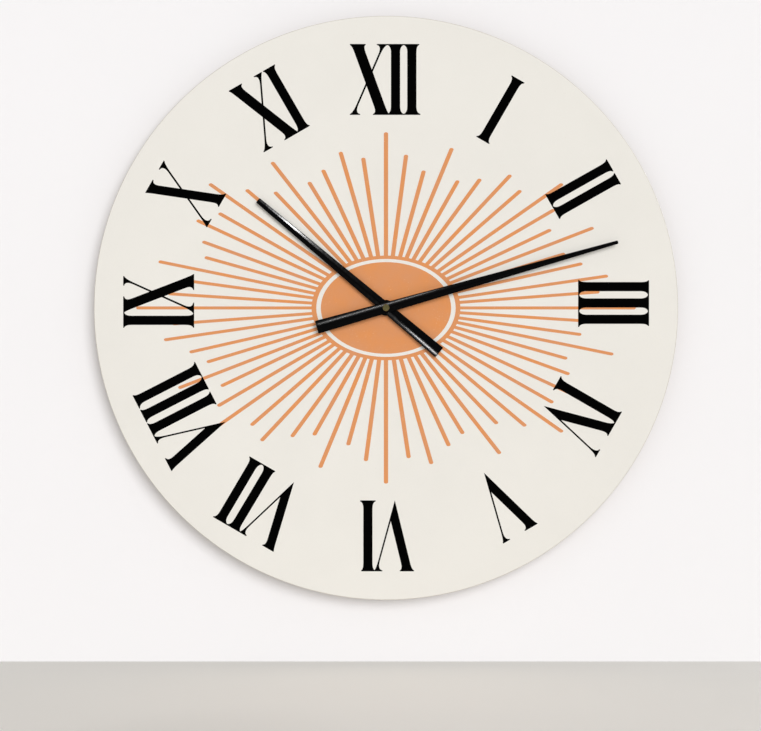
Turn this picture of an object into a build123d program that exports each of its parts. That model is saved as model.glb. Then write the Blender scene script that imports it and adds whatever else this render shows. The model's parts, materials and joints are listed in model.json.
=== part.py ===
"""Round wall clock with a printed sunburst dial, hung by a steel plate on its quartz movement.

Frame: the origin is on the hands' axis, in the plane of the wall. +Z is up, the dial faces -Y and the
wall is on the +Y side. Every "height" below is the distance out from the wall, towards the viewer.
"""

from build123d import *
import math
import os

# ------------------------------------------------------------------ driving dimensions, mm
DIAL_DIAMETER = 737.0
BOARD_THICKNESS = 6.0
LAMINATE_THICKNESS = 0.12
INK_THICKNESS = 0.1
CAP_HEIGHT = 89.4  # of the numerals

CASE_SIDE = 56.0
CASE_DEPTH = 17.0
CASE_WALL = 1.5
CASE_PLATE = 1.6
CASE_CORNER = 3.0
CASE_SPLIT = 4.5  # height at which the rear cover meets the front case

HANGER_THICKNESS = 1.0
GASKET_THICKNESS = 1.0
PLAY = 0.04  # radial clearance of an arbor in its bearing

MINUTE_ANGLE = 74.2  # clockwise from 12, at rest
HOUR_ANGLE = 310.0
MINUTE_LENGTH, MINUTE_TAIL = 303.0, 90.5
MINUTE_TAIL_WIDTH, MINUTE_TIP_WIDTH = 16.6, 4.4
HOUR_LENGTH, HOUR_TAIL = 210.5, 87.5
HOUR_TAIL_WIDTH, HOUR_TIP_WIDTH = 15.6, 7.2
HAND_SHEET = 0.6
HAND_SLOPE = 11.0  # degrees, of each facet down from the ridge

# ------------------------------------------------------------------ heights that follow from them
HANGER_BACK = CASE_DEPTH
GASKET_BACK = HANGER_BACK + HANGER_THICKNESS
BOARD_BACK = GASKET_BACK + GASKET_THICKNESS
BOARD_FRONT = BOARD_BACK + BOARD_THICKNESS
DIAL_FRONT = BOARD_FRONT + LAMINATE_THICKNESS
CASE_INNER_FRONT = CASE_DEPTH - CASE_PLATE
CASE_INNER = CASE_SIDE / 2 - CASE_WALL

WALL = Plane(origin=(0, 0, 0), x_dir=(1, 0, 0), z_dir=(0, -1, 0))


def front(height):
    """The plane parallel to the wall at a height: local x is +X, local y is +Z."""
    return WALL.offset(height)


# ------------------------------------------------------------------ helpers that add to the open part
def disc(radius, height, thickness, centre=(0, 0), mode=Mode.ADD):
    """A round plate, post or, with Mode.SUBTRACT, a hole along the clock's axis."""
    with BuildSketch(front(height)) as profile:
        with Locations(centre):
            Circle(radius)
    extrude(profile.sketch, amount=thickness, mode=mode)


def block(low, high, height, thickness, corner=0.0, mode=Mode.ADD):
    """A plate between two opposite corners, given as (x, z)."""
    with BuildSketch(front(height)) as profile:
        with Locations(((low[0] + high[0]) / 2, (low[1] + high[1]) / 2)):
            if corner:
                RectangleRounded(high[0] - low[0], high[1] - low[1], corner)
            else:
                Rectangle(high[0] - low[0], high[1] - low[1])
    extrude(profile.sketch, amount=thickness, mode=mode)


def outline(start, *steps):
    """A closed outline. A step is the next corner, or control points and a corner for a curved side."""
    here = start
    for step in steps:
        if isinstance(step[0], tuple):
            Bezier(here, *step)
            here = step[-1]
        else:
            Line(here, step)
            here = step
    Line(here, start)


PRESSURE_ANGLE = math.radians(25)
ADDENDUM = 0.75  # of the module
DEDENDUM = 1.05
BACKLASH = 0.14  # of the module, taken from each gear of a pair by half


def gear_outline(teeth, module, centre, phase):
    """Corners of a stub-tooth involute gear, with a tooth centred on the phase angle in degrees."""
    pitch_r = teeth * module / 2
    base_r = pitch_r * math.cos(PRESSURE_ANGLE)
    root_r = pitch_r - DEDENDUM * module
    tip_r = pitch_r + ADDENDUM * module
    at_pitch = math.pi / (2 * teeth) - BACKLASH * module / 4 / pitch_r

    def half_angle(radius):
        slope = math.acos(min(1.0, base_r / radius))
        involute = math.tan(slope) - slope
        return at_pitch + math.tan(PRESSURE_ANGLE) - PRESSURE_ANGLE - involute

    radii = [root_r, base_r, pitch_r, tip_r] if base_r > root_r else [root_r, pitch_r, tip_r]
    flank = [(radius, half_angle(radius)) for radius in radii]
    points = []
    for tooth in range(teeth):
        middle = math.radians(phase) + 2 * math.pi * tooth / teeth
        rising = [(r, middle - half) for r, half in flank]
        falling = [(r, middle + half) for r, half in reversed(flank)]
        points += [(centre[0] + r * math.cos(a), centre[1] + r * math.sin(a)) for r, a in rising + falling]
    return points


def gear(teeth, module, height, thickness, centre=(0, 0), phase=0.0):
    """A toothed disc."""
    with BuildSketch(front(height)) as profile:
        with BuildLine():
            Polyline(*gear_outline(teeth, module, centre, phase), close=True)
        make_face()
    extrude(profile.sketch, amount=thickness)


def away(start, angle, distance):
    """The point at an angle, counter-clockwise from +X, and a distance from another."""
    turn = math.radians(angle)
    return (start[0] + distance * math.cos(turn), start[1] + distance * math.sin(turn))


# ------------------------------------------------------------------ dial board and face laminate
BUSHING_R = 4.95
BOARD_HOLE_R = 5.25
BOARD_EDGE_ROUND = 1.0

with BuildPart() as dial_board:
    disc(DIAL_DIAMETER / 2, BOARD_BACK, BOARD_THICKNESS)
    rims = dial_board.edges().filter_by(GeomType.CIRCLE).sort_by(Axis.Y)
    fillet(rims, BOARD_EDGE_ROUND)
    disc(BOARD_HOLE_R, BOARD_BACK, BOARD_THICKNESS, mode=Mode.SUBTRACT)

with BuildPart() as face_laminate:
    disc(DIAL_DIAMETER / 2 - BOARD_EDGE_ROUND, BOARD_FRONT, LAMINATE_THICKNESS)
    disc(BOARD_HOLE_R, BOARD_FRONT, LAMINATE_THICKNESS, mode=Mode.SUBTRACT)

# ------------------------------------------------------------------ printed numerals
# Roman numerals in a bold face with bracketed serifs, each standing on its hour line with its head
# outwards. Their measures are percentages of the cap height.
BRACKET = 12.0  # height of the curve between a heavy stroke and its serif
THIN_BRACKET = 15.0
SERIF_TIP = 1.4
HEAVY, THIN, VEE_THIN = 12.9, 2.8, 2.3


def serif_curve(edge_x, tip_x, end):
    """Control point and end point of the curve from a stroke's edge to its serif's tip."""
    inward = 1 if end == 0 else -1
    control = (edge_x(end + inward * SERIF_TIP * 2), end + inward * SERIF_TIP * 2)
    return control, (tip_x, end + inward * SERIF_TIP)


def scaled(item):
    """Percentages of the cap height to millimetres, for a point or a group of points."""
    if isinstance(item[0], tuple):
        return tuple(scaled(point) for point in item)
    return (item[0] * CAP_HEIGHT / 100, item[1] * CAP_HEIGHT / 100)


def stroke(foot, head, foot_serifs, head_serifs, width=HEAVY):
    """One stroke from the foot line to the head line. The serifs are the left and right overhangs."""
    bracket = THIN_BRACKET if width < HEAVY / 2 else BRACKET

    def left(y):
        return foot + (head - foot) * y / 100 - width / 2

    def right(y):
        return left(y) + width

    foot_left, foot_right = left(0) - foot_serifs[0], right(0) + foot_serifs[1]
    head_left, head_right = left(100) - head_serifs[0], right(100) + head_serifs[1]
    upper = 100 - bracket
    foot_curve = serif_curve(right, foot_right, 0)
    steps = [
        (foot_right, 0),
        foot_curve[1],
        (foot_curve[0], (right(bracket), bracket)),
        (right(upper), upper),
        serif_curve(right, head_right, 100),
        (head_right, 100),
        (head_left, 100),
        (head_left, 100 - SERIF_TIP),
        (serif_curve(left, head_left, 100)[0], (left(upper), upper)),
        (left(bracket), bracket),
        serif_curve(left, foot_left, 0),
    ]
    with BuildLine() as shape:
        outline(scaled((foot_left, 0)), *[scaled(step) for step in steps])
    make_face(shape.edges())


def vee(left_head, apex, right_head, heavy_serifs, thin_serifs, width=HEAVY, thin=VEE_THIN):
    """A V standing on its point: outer edges at the head line, and the point's place on the foot line."""

    def outer_left(y):
        return apex + (left_head - apex) * y / 100

    def outer_right(y):
        return apex + (right_head - apex) * y / 100

    def inner_left(y):
        return outer_left(y) + width

    def inner_right(y):
        return outer_right(y) - thin

    crotch = 100 * (width + thin) / (right_head - left_head)
    upper, thin_upper = 100 - BRACKET, 100 - THIN_BRACKET
    tips = [
        left_head - heavy_serifs[0],
        left_head + width + heavy_serifs[1],
        right_head - thin - thin_serifs[0],
        right_head + thin_serifs[1],
    ]
    steps = [
        (outer_right(thin_upper), thin_upper),
        serif_curve(outer_right, tips[3], 100),
        (tips[3], 100),
        (tips[2], 100),
        (tips[2], 100 - SERIF_TIP),
        (serif_curve(inner_right, tips[2], 100)[0], (inner_right(thin_upper), thin_upper)),
        (inner_left(crotch), crotch),
        (inner_left(upper), upper),
        serif_curve(inner_left, tips[1], 100),
        (tips[1], 100),
        (tips[0], 100),
        (tips[0], 100 - SERIF_TIP),
        (serif_curve(outer_left, tips[0], 100)[0], (outer_left(upper), upper)),
    ]
    with BuildLine() as shape:
        outline(scaled((apex, 0)), *[scaled(step) for step in steps])
    make_face(shape.edges())


def draw_numeral(hour):
    """The strokes of one numeral, in the open sketch."""
    if hour == 1:
        stroke(0, 0, (4, 4), (4, 4))
    if hour == 2:
        stroke(-17.5, -16.5, (2.5, 5), (3, 3.5))
        stroke(4.5, 5.5, (5, 3), (2.5, 2.5))
    if hour == 3:
        stroke(-30, -30, (3, 5.5), (2.5, 5.5))
        stroke(-7, -7, (5.5, 5.5), (5.5, 5.5))
        stroke(16, 16, (5.5, 4.5), (5.5, 3))
    if hour == 4:
        stroke(-29.5, -29.5, (4, 5.5), (3.5, 3))
        vee(-18.5, 8.5, 31.5, (3, 5), (7, 3), width=13.4)
    if hour == 5:
        vee(-32, -3.5, 21.5, (1, 6.5), (7.5, 1.5), width=13.0)
    if hour == 6:
        vee(-37, -12.5, 15, (2.5, 4.5), (7.5, 1.5))
        stroke(25.5, 25.5, (4.5, 4.5), (3.5, 3))
    if hour == 7:
        vee(-34, -10.5, 19.5, (0.5, 5), (7.5, 1.5))
        stroke(28.5, 30, (2, 6), (3.5, 6))
        stroke(52, 53, (6, 3.5), (6, 4.5))
    if hour == 8:
        vee(-52, -26, -0.5, (1, 6), (6.5, 2.5), width=13.1)
        stroke(12, 12, (3.5, 3.5), (4, 4))
        stroke(34.5, 34.5, (2.5, 5.5), (4, 3))
        stroke(58, 58, (5.5, 4.5), (5.5, 2.5))
    if hour == 9:
        stroke(-17.5, -17.5, (4, 3), (4, 4.5))
        stroke(40, 1.5, (7.5, 0.5), (1, 7.5), width=14.4)
        stroke(-4, 41, (2.5, 10), (8, 2.5), width=THIN)
    if hour == 10:
        stroke(17.5, -22, (5.5, 2.5), (0, 7.5), width=13.5)
        stroke(-26, 20, (0.5, 10), (9.5, 2), width=THIN)
    if hour == 11:
        stroke(9, -31, (7, 0.5), (0.5, 5.5), width=15.1)
        stroke(-35.5, 12, (2.5, 9.5), (9, 1), width=THIN)
        stroke(26, 26, (4.5, 3), (3, 3.5))
    if hour == 12:
        stroke(-4.5, -41, (6, 1), (2, 4.5), width=15.8)
        stroke(-46.5, -3, (3, 8.5), (8.5, 4), width=THIN)
        stroke(13.5, 13.5, (5.5, 5.5), (5.5, 5.5))
        stroke(36.5, 36.5, (5.5, 5.5), (5.5, 4))


NUMERAL_TILTS = {8: 2.8}  # degrees clockwise
NUMERAL_FEET = {  # radius of each numeral's foot line
    1: 243.9,
    2: 245.4,
    3: 242.3,
    4: 233.9,
    5: 241.9,
    6: 242.7,
    7: 248.0,
    8: 245.6,
    9: 241.9,
    10: 246.2,
    11: 246.8,
    12: 243.4,
}


def numeral_plane(hour):
    """The plane of a numeral: its origin on the hour line at the foot, its y outwards."""
    turn = math.radians(30 * hour)
    tilt = math.radians(30 * hour + NUMERAL_TILTS.get(hour, 0))
    foot = (NUMERAL_FEET[hour] * math.sin(turn), -DIAL_FRONT, NUMERAL_FEET[hour] * math.cos(turn))
    return Plane(origin=foot, x_dir=(math.cos(tilt), 0, -math.sin(tilt)), z_dir=(0, -1, 0))


with BuildPart() as printed_numerals:
    for hour in range(1, 13):
        with BuildSketch(numeral_plane(hour)) as numeral:
            draw_numeral(hour)
        extrude(numeral.sketch, amount=INK_THICKNESS)

# ------------------------------------------------------------------ printed sunburst
# A sun inside a ring of rays. The rays repeat in eight sectors, and the whole figure is drawn on
# circles and then stretched sideways.
STRETCH = 1.422
SUN_R = 57.8
RING_INNER_R, RING_OUTER_R = 61.8, 66.0
RAY_WIDTH = 3.8
SECTORS = 8
RAYS = [  # angle in the sector, clockwise in degrees, and the radius of the ray's tip
    (0.0, 221.5),
    (5.3, 194.0),
    (11.0, 176.5),
    (16.2, 210.0),
    (21.7, 173.0),
    (27.2, 183.0),
    (33.4, 201.0),
    (38.9, 190.5),
]
ROUND = 0.5523  # control-point length of a quarter circle, of its radius


def ray(angle, tip_r):
    """One ray with a round tip, its inner end under the ring."""
    turn = math.radians(angle)
    half = RAY_WIDTH / 2

    def place(along, across):
        x = along * math.sin(turn) + across * math.cos(turn)
        z = along * math.cos(turn) - across * math.sin(turn)
        return (x * STRETCH, z)

    inner = (RING_INNER_R + RING_OUTER_R) / 2
    shoulder = tip_r - half
    with BuildLine() as shape:
        outline(
            place(inner, -half),
            place(shoulder, -half),
            (place(shoulder + ROUND * half, -half), place(tip_r, -ROUND * half), place(tip_r, 0)),
            (place(tip_r, ROUND * half), place(shoulder + ROUND * half, half), place(shoulder, half)),
            place(inner, half),
        )
    make_face(shape.edges())


with BuildPart() as printed_sunburst:
    with BuildSketch(front(DIAL_FRONT)) as sunburst:
        Ellipse(RING_OUTER_R * STRETCH, RING_OUTER_R)
        for sector in range(SECTORS):
            for offset_angle, tip_r in RAYS:
                ray(sector * 360 / SECTORS + offset_angle, tip_r)
        Ellipse(RING_INNER_R * STRETCH, RING_INNER_R, mode=Mode.SUBTRACT)
        Ellipse(SUN_R * STRETCH, SUN_R)
        Circle(BOARD_HOLE_R, mode=Mode.SUBTRACT)
    extrude(sunburst.sketch, amount=INK_THICKNESS)
    add(printed_numerals.part, mode=Mode.SUBTRACT)

# ------------------------------------------------------------------ gear train: where the arbors stand
CENTRE_MODULE = 0.32  # third pinion and centre wheel
THIRD_MODULE = CENTRE_MODULE * (64 + 8) / (60 + 8)  # seconds pinion and third wheel, same distance
SECONDS_MODULE = 0.28
ROTOR_MODULE = 0.24
MINUTE_MODULE = 0.5  # cannon pinion, minute wheel and setting pinion
HOUR_MODULE = MINUTE_MODULE * (36 + 12) / (40 + 10)  # minute pinion and hour wheel, same distance

THIRD_ANGLE, STEP_ANGLE, ROTOR_ANGLE, MOTION_ANGLE = 100.0, 175.0, 170.0, 35.0
AXIS = (0.0, 0.0)
THIRD_AT = away(AXIS, THIRD_ANGLE, CENTRE_MODULE * (64 + 8) / 2)
STEP_AT = away(AXIS, STEP_ANGLE, SECONDS_MODULE * (60 + 10) / 2)
ROTOR_AT = away(STEP_AT, ROTOR_ANGLE, ROTOR_MODULE * (50 + 10) / 2)
MINUTE_AT = away(AXIS, MOTION_ANGLE, MINUTE_MODULE * (36 + 12) / 2)
KNOB_AT = away(MINUTE_AT, MOTION_ANGLE, MINUTE_MODULE * (36 + 12) / 2)

ARBOR_R = 0.4
KNOB_SHAFT_R = 0.8
BEARING_R = ARBOR_R + PLAY
MIDDLE_PLATE_BACK, MIDDLE_PLATE_FRONT = 8.3, 9.0
PIVOT_BACK = 2.3  # height of the arbors' rear ends
END_PLAY = 0.1
PLATE_POSTS = [(-11.8, 19.8), (14.0, 20.0), (22.5, -8.0), (-11.5, -8.3)]
COIL_X, COIL_HEIGHT = -23.2, 8.0
CORE_LOW, CORE_HIGH = -8.0, 22.0
CORE_THICKNESS = 1.2
CORE_FRONT = COIL_HEIGHT + CORE_THICKNESS / 2
CORE_POSTS = [(COIL_X, CORE_LOW + 1.8), (COIL_X, CORE_HIGH - 1.8)]
POST_R, SCREW_R, SCREW_DEPTH = 1.5, 0.7, 4.0
BOARD_LEVEL, CIRCUIT_THICKNESS = 2.4, 0.8
BOARD_PEGS = [(-20.0, 20.0), (7.0, 20.0)]

# ------------------------------------------------------------------ movement case
BAY_TOP = -11.7  # z of the battery bay's upper side
BAY_WALL, BAY_CORNER = 1.0, 0.5
NOTCH_HALF, NOTCH_DEPTH = 0.7, 0.5  # the ways out of the bay for the battery contacts
KNOB_R, KNOB_WELL_R = 5.6, 6.0
KNOB_WELL_DEPTH, KNOB_WELL_WALL, KNOB_WELL_FLOOR = 2.4, 0.8, 1.0
BEARING_SEAT_R = 1.4
REAR_BEARINGS = [(AXIS, 5.0), (THIRD_AT, 6.8), (STEP_AT, 3.4), (ROTOR_AT, 3.2)]  # place, front height
FRONT_BEARINGS = [  # place, height of the rear end, radius of the shaft
    (THIRD_AT, 10.6, ARBOR_R),
    (MINUTE_AT, 14.5, ARBOR_R),
    (KNOB_AT, 12.6, KNOB_SHAFT_R),
]
FRONT_BEARING_WALL = 0.8
HALF_CASE = CASE_SIDE / 2
INNER_CORNER = CASE_CORNER - CASE_WALL
OUTER_LOW, OUTER_HIGH = (-HALF_CASE, -HALF_CASE), (HALF_CASE, HALF_CASE)
INNER_LOW, INNER_HIGH = (-CASE_INNER, -CASE_INNER), (CASE_INNER, CASE_INNER)

with BuildPart() as rear_cover:
    block(OUTER_LOW, OUTER_HIGH, 0, CASE_SPLIT, CASE_CORNER)
    block(INNER_LOW, INNER_HIGH, CASE_PLATE, CASE_SPLIT, INNER_CORNER, Mode.SUBTRACT)
    block(INNER_LOW, (CASE_INNER, BAY_TOP), 0, CASE_PLATE, BAY_CORNER, Mode.SUBTRACT)
    well_front = KNOB_WELL_DEPTH + KNOB_WELL_FLOOR
    disc(KNOB_WELL_R + KNOB_WELL_WALL, CASE_PLATE, well_front - CASE_PLATE, KNOB_AT)
    for seat, top in REAR_BEARINGS:
        disc(BEARING_SEAT_R, CASE_PLATE, top - CASE_PLATE, seat)
        disc(BEARING_R, PIVOT_BACK - END_PLAY, top - PIVOT_BACK + END_PLAY, seat, Mode.SUBTRACT)
    for seat in BOARD_PEGS:
        disc(POST_R, CASE_PLATE, BOARD_LEVEL - CASE_PLATE, seat)
    disc(KNOB_WELL_R, 0, KNOB_WELL_DEPTH, KNOB_AT, Mode.SUBTRACT)
    disc(KNOB_SHAFT_R + PLAY, 0, CASE_SPLIT, KNOB_AT, Mode.SUBTRACT)

with BuildPart() as front_case:
    block(OUTER_LOW, OUTER_HIGH, CASE_SPLIT, CASE_DEPTH - CASE_SPLIT, CASE_CORNER)
    block(INNER_LOW, INNER_HIGH, CASE_SPLIT, CASE_INNER_FRONT - CASE_SPLIT, INNER_CORNER, Mode.SUBTRACT)
    bay_depth = CASE_INNER_FRONT - CASE_PLATE
    block((-CASE_INNER, BAY_TOP), (CASE_INNER, BAY_TOP + BAY_WALL), CASE_PLATE, bay_depth)
    notch_depth = CASE_SPLIT + NOTCH_DEPTH - CASE_PLATE
    for x in (-CASE_INNER, CASE_INNER):
        low, high = (x - NOTCH_HALF, BAY_TOP), (x + NOTCH_HALF, BAY_TOP + BAY_WALL)
        block(low, high, CASE_PLATE, notch_depth, mode=Mode.SUBTRACT)
    for seat in PLATE_POSTS:
        disc(POST_R, MIDDLE_PLATE_FRONT, CASE_INNER_FRONT - MIDDLE_PLATE_FRONT, seat)
        disc(SCREW_R, MIDDLE_PLATE_FRONT, SCREW_DEPTH, seat, Mode.SUBTRACT)
    for seat in CORE_POSTS:
        disc(POST_R, CORE_FRONT, CASE_INNER_FRONT - CORE_FRONT, seat)
        disc(SCREW_R, CORE_FRONT, SCREW_DEPTH, seat, Mode.SUBTRACT)
    for seat, bottom, shaft_r in FRONT_BEARINGS:
        disc(shaft_r + FRONT_BEARING_WALL, bottom, CASE_INNER_FRONT - bottom, seat)
        disc(shaft_r + PLAY, bottom, CASE_INNER_FRONT - bottom, seat, Mode.SUBTRACT)
    disc(BUSHING_R, CASE_SPLIT, CASE_DEPTH, AXIS, Mode.SUBTRACT)

HOUR_PIPE_R, HOUR_PIPE_BORE = 2.5, 1.75
MINUTE_PIPE_R = 1.7
PIPE_PLAY = 0.05
BUSHING_TOP = BOARD_FRONT + 4.2
BUSHING_FLANGE_R, BUSHING_FLANGE, BUSHING_CHAMFER = 6.0, 0.8, 0.5

with BuildPart() as threaded_bushing:
    disc(BUSHING_FLANGE_R, CASE_INNER_FRONT - BUSHING_FLANGE, BUSHING_FLANGE)
    disc(BUSHING_R, CASE_INNER_FRONT, BUSHING_TOP - CASE_INNER_FRONT)
    chamfer(threaded_bushing.edges().filter_by(GeomType.CIRCLE).sort_by(Axis.Y)[0], BUSHING_CHAMFER)
    disc(HOUR_PIPE_R + PIPE_PLAY, 0, 2 * BUSHING_TOP, AXIS, Mode.SUBTRACT)

# ------------------------------------------------------------------ middle plate, motor and electronics
PLATE_LOW, PLATE_HIGH, PLATE_CORNER = (-19.5, -10.2), (24.5, 21.8), 2.0
MINUTE_POST_R, MINUTE_POST = 1.2, 1.8
THIRD_HOLE_R = 2.0

with BuildPart() as middle_plate:
    plate_thickness = MIDDLE_PLATE_FRONT - MIDDLE_PLATE_BACK
    block(PLATE_LOW, PLATE_HIGH, MIDDLE_PLATE_BACK, plate_thickness, PLATE_CORNER)
    disc(MINUTE_POST_R, MIDDLE_PLATE_FRONT, MINUTE_POST, MINUTE_AT)
    for seat in (AXIS, STEP_AT, ROTOR_AT, MINUTE_AT):
        disc(BEARING_R, MIDDLE_PLATE_BACK, plate_thickness + MINUTE_POST, seat, Mode.SUBTRACT)
    disc(THIRD_HOLE_R, MIDDLE_PLATE_BACK, plate_thickness, THIRD_AT, Mode.SUBTRACT)
    disc(KNOB_SHAFT_R + 10 * PLAY, MIDDLE_PLATE_BACK, plate_thickness, KNOB_AT, Mode.SUBTRACT)
    for seat in PLATE_POSTS:
        disc(SCREW_R, MIDDLE_PLATE_BACK, plate_thickness, seat, Mode.SUBTRACT)

HEAD_R, HEAD_THICKNESS = 1.3, 0.8
SCREW_SLOT_HALF, SCREW_SLOT_DEPTH = 0.15, 0.35


def small_screw(seat, head_front, length):
    """A slotted screw driven in from the back, its head's front face at a height."""
    head_back = head_front - HEAD_THICKNESS
    disc(HEAD_R, head_back, HEAD_THICKNESS, seat)
    disc(SCREW_R, head_front, length, seat)
    low, high = (seat[0] - HEAD_R, seat[1] - SCREW_SLOT_HALF), (seat[0] + HEAD_R, seat[1] + SCREW_SLOT_HALF)
    block(low, high, head_back, SCREW_SLOT_DEPTH, mode=Mode.SUBTRACT)


with BuildPart() as plate_screws:
    for seat in PLATE_POSTS:
        small_screw(seat, MIDDLE_PLATE_BACK, SCREW_DEPTH)

STATOR_BACK, STATOR_THICKNESS = 6.6, 0.8
STATOR_HALF, STATOR_LEG, STATOR_CORNER = 3.1, 3.4, 1.0
ROTOR_MAGNET_R, STATOR_HOLE_R = 2.5, 2.9
CORE_HALF, CORE_END_HALF = 1.5, 1.8

with BuildPart() as stator:
    pole_low, pole_high = (ROTOR_AT[0] - STATOR_HALF, CORE_LOW), (ROTOR_AT[0] + STATOR_HALF, CORE_HIGH)
    block(pole_low, pole_high, STATOR_BACK, STATOR_THICKNESS, STATOR_CORNER)
    for leg_low in (CORE_LOW, CORE_HIGH - STATOR_LEG):
        low, high = (COIL_X - CORE_END_HALF, leg_low), (ROTOR_AT[0], leg_low + STATOR_LEG)
        block(low, high, STATOR_BACK, STATOR_THICKNESS)
    disc(STATOR_HOLE_R, STATOR_BACK, STATOR_THICKNESS, ROTOR_AT, Mode.SUBTRACT)
    for seat in CORE_POSTS:
        disc(SCREW_R, STATOR_BACK, STATOR_THICKNESS, seat, Mode.SUBTRACT)

with BuildPart() as coil_core:
    core_back = CORE_FRONT - CORE_THICKNESS
    block((COIL_X - CORE_HALF, CORE_LOW), (COIL_X + CORE_HALF, CORE_HIGH), core_back, CORE_THICKNESS)
    for seat in CORE_POSTS:
        disc(SCREW_R, core_back, CORE_THICKNESS, seat, Mode.SUBTRACT)

with BuildPart() as core_screws:
    for seat in CORE_POSTS:
        small_screw(seat, STATOR_BACK, SCREW_DEPTH + STATOR_THICKNESS)

BOBBIN_LOW, BOBBIN_HIGH, BOBBIN_FLANGE = -4.4, 18.4, 0.8
FLANGE_SIZE, WINDING_SIZE, TUBE_SIZE = (6.2, 5.2), (5.9, 4.8), (4.6, 2.8)  # across X and Y
FLANGE_CORNER, WINDING_CORNER = 0.8, 1.2


def coil_section(z):
    """A level plane through the coil, its origin on the coil's own axis."""
    return Plane(origin=(COIL_X, -COIL_HEIGHT, z), x_dir=(1, 0, 0), z_dir=(0, 0, 1))


with BuildPart() as coil_bobbin:
    for z in (BOBBIN_LOW, BOBBIN_HIGH - BOBBIN_FLANGE):
        with BuildSketch(coil_section(z)):
            RectangleRounded(*FLANGE_SIZE, FLANGE_CORNER)
        extrude(amount=BOBBIN_FLANGE)
    with BuildSketch(coil_section(BOBBIN_LOW)):
        Rectangle(*TUBE_SIZE)
    extrude(amount=BOBBIN_HIGH - BOBBIN_LOW)
    with BuildSketch(coil_section(BOBBIN_LOW)):
        Rectangle(2 * CORE_HALF, CORE_THICKNESS)
    extrude(amount=BOBBIN_HIGH - BOBBIN_LOW, mode=Mode.SUBTRACT)

with BuildPart() as coil_winding:
    with BuildSketch(coil_section(BOBBIN_LOW + BOBBIN_FLANGE)):
        RectangleRounded(*WINDING_SIZE, WINDING_CORNER)
        Rectangle(*TUBE_SIZE, mode=Mode.SUBTRACT)
    extrude(amount=BOBBIN_HIGH - BOBBIN_LOW - 2 * BOBBIN_FLANGE)

CIRCUIT_FRONT = BOARD_LEVEL + CIRCUIT_THICKNESS
CIRCUIT_LOW, CIRCUIT_HIGH = (-26.0, 14.0), (11.0, 26.0)
CHIP_AT, CHIP_R, CHIP_HEIGHT, CHIP_ROUND = (-10.0, 20.5), 3.0, 1.2, 0.9
CRYSTAL_AT, CRYSTAL_R, CRYSTAL_LENGTH, CRYSTAL_ROUND = (1.0, 22.5), 1.0, 6.0, 0.3

with BuildPart() as circuit_board:
    block(CIRCUIT_LOW, CIRCUIT_HIGH, BOARD_LEVEL, CIRCUIT_THICKNESS)

with BuildPart() as chip_cover:
    disc(CHIP_R, CIRCUIT_FRONT, CHIP_HEIGHT, CHIP_AT)
    fillet(chip_cover.edges().filter_by(GeomType.CIRCLE).sort_by(Axis.Y)[0], CHIP_ROUND)

with BuildPart() as quartz_crystal:
    crystal_end = (CRYSTAL_AT[0], -CIRCUIT_FRONT - CRYSTAL_R, CRYSTAL_AT[1])
    with BuildSketch(Plane(origin=crystal_end, x_dir=(0, 1, 0), z_dir=(1, 0, 0))):
        Circle(CRYSTAL_R)
    extrude(amount=CRYSTAL_LENGTH)
    fillet(quartz_crystal.edges().sort_by(Axis.X)[-1], CRYSTAL_ROUND)

# ------------------------------------------------------------------ battery and its contacts
CELL_R, CELL_Z, CELL_HEIGHT = 7.0, -19.1, 8.0
CELL_LEFT, CELL_SHOULDER, CELL_TIP = -24.0, 24.6, 26.0
CELL_ROUND, NUB_R, NUB_ROUND = 0.6, 2.7, 0.5
JACKET, JACKET_SHORT = 0.1, 0.7  # thickness of the sleeve, and how far it ends from the can's ends
CONTACT = 0.4
CONTACT_X = CASE_INNER - CONTACT
CONTACT_HALF, CONTACT_DEPTH = 5.0, 10.0
STRIP_BACK, STRIP_WIDTH = 2.6, 2.0  # height and width of the strips that run to the circuit board
STRIP_Z = BAY_TOP + BAY_WALL
STRIP_TURN_X = -19.2
POSITIVE_PAD_LOW, POSITIVE_PAD_HIGH, POSITIVE_PAD_X = 14.0, 16.0, 1.6
NEGATIVE_PAD_LOW, NEGATIVE_PAD_HIGH, NEGATIVE_PAD_X = 15.5, 18.0, -24.6


def cell_section(x):
    """A plane across the cell, its origin on the cell's axis, facing +X."""
    return Plane(origin=(x, -CELL_HEIGHT, CELL_Z), x_dir=(0, 1, 0), z_dir=(1, 0, 0))


with BuildPart() as battery_cell:
    with BuildSketch(cell_section(CELL_LEFT)):
        Circle(CELL_R)
    extrude(amount=CELL_SHOULDER - CELL_LEFT)
    fillet(battery_cell.edges().filter_by(GeomType.CIRCLE), CELL_ROUND)
    with BuildSketch(cell_section(CELL_SHOULDER)):
        Circle(NUB_R)
    extrude(amount=CELL_TIP - CELL_SHOULDER)
    fillet(battery_cell.edges().sort_by(Axis.X)[-1], NUB_ROUND)

with BuildPart() as battery_jacket:
    with BuildSketch(cell_section(CELL_LEFT + JACKET_SHORT)):
        Circle(CELL_R + JACKET)
        Circle(CELL_R, mode=Mode.SUBTRACT)
    extrude(amount=CELL_SHOULDER - CELL_LEFT - 2 * JACKET_SHORT)

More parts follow.
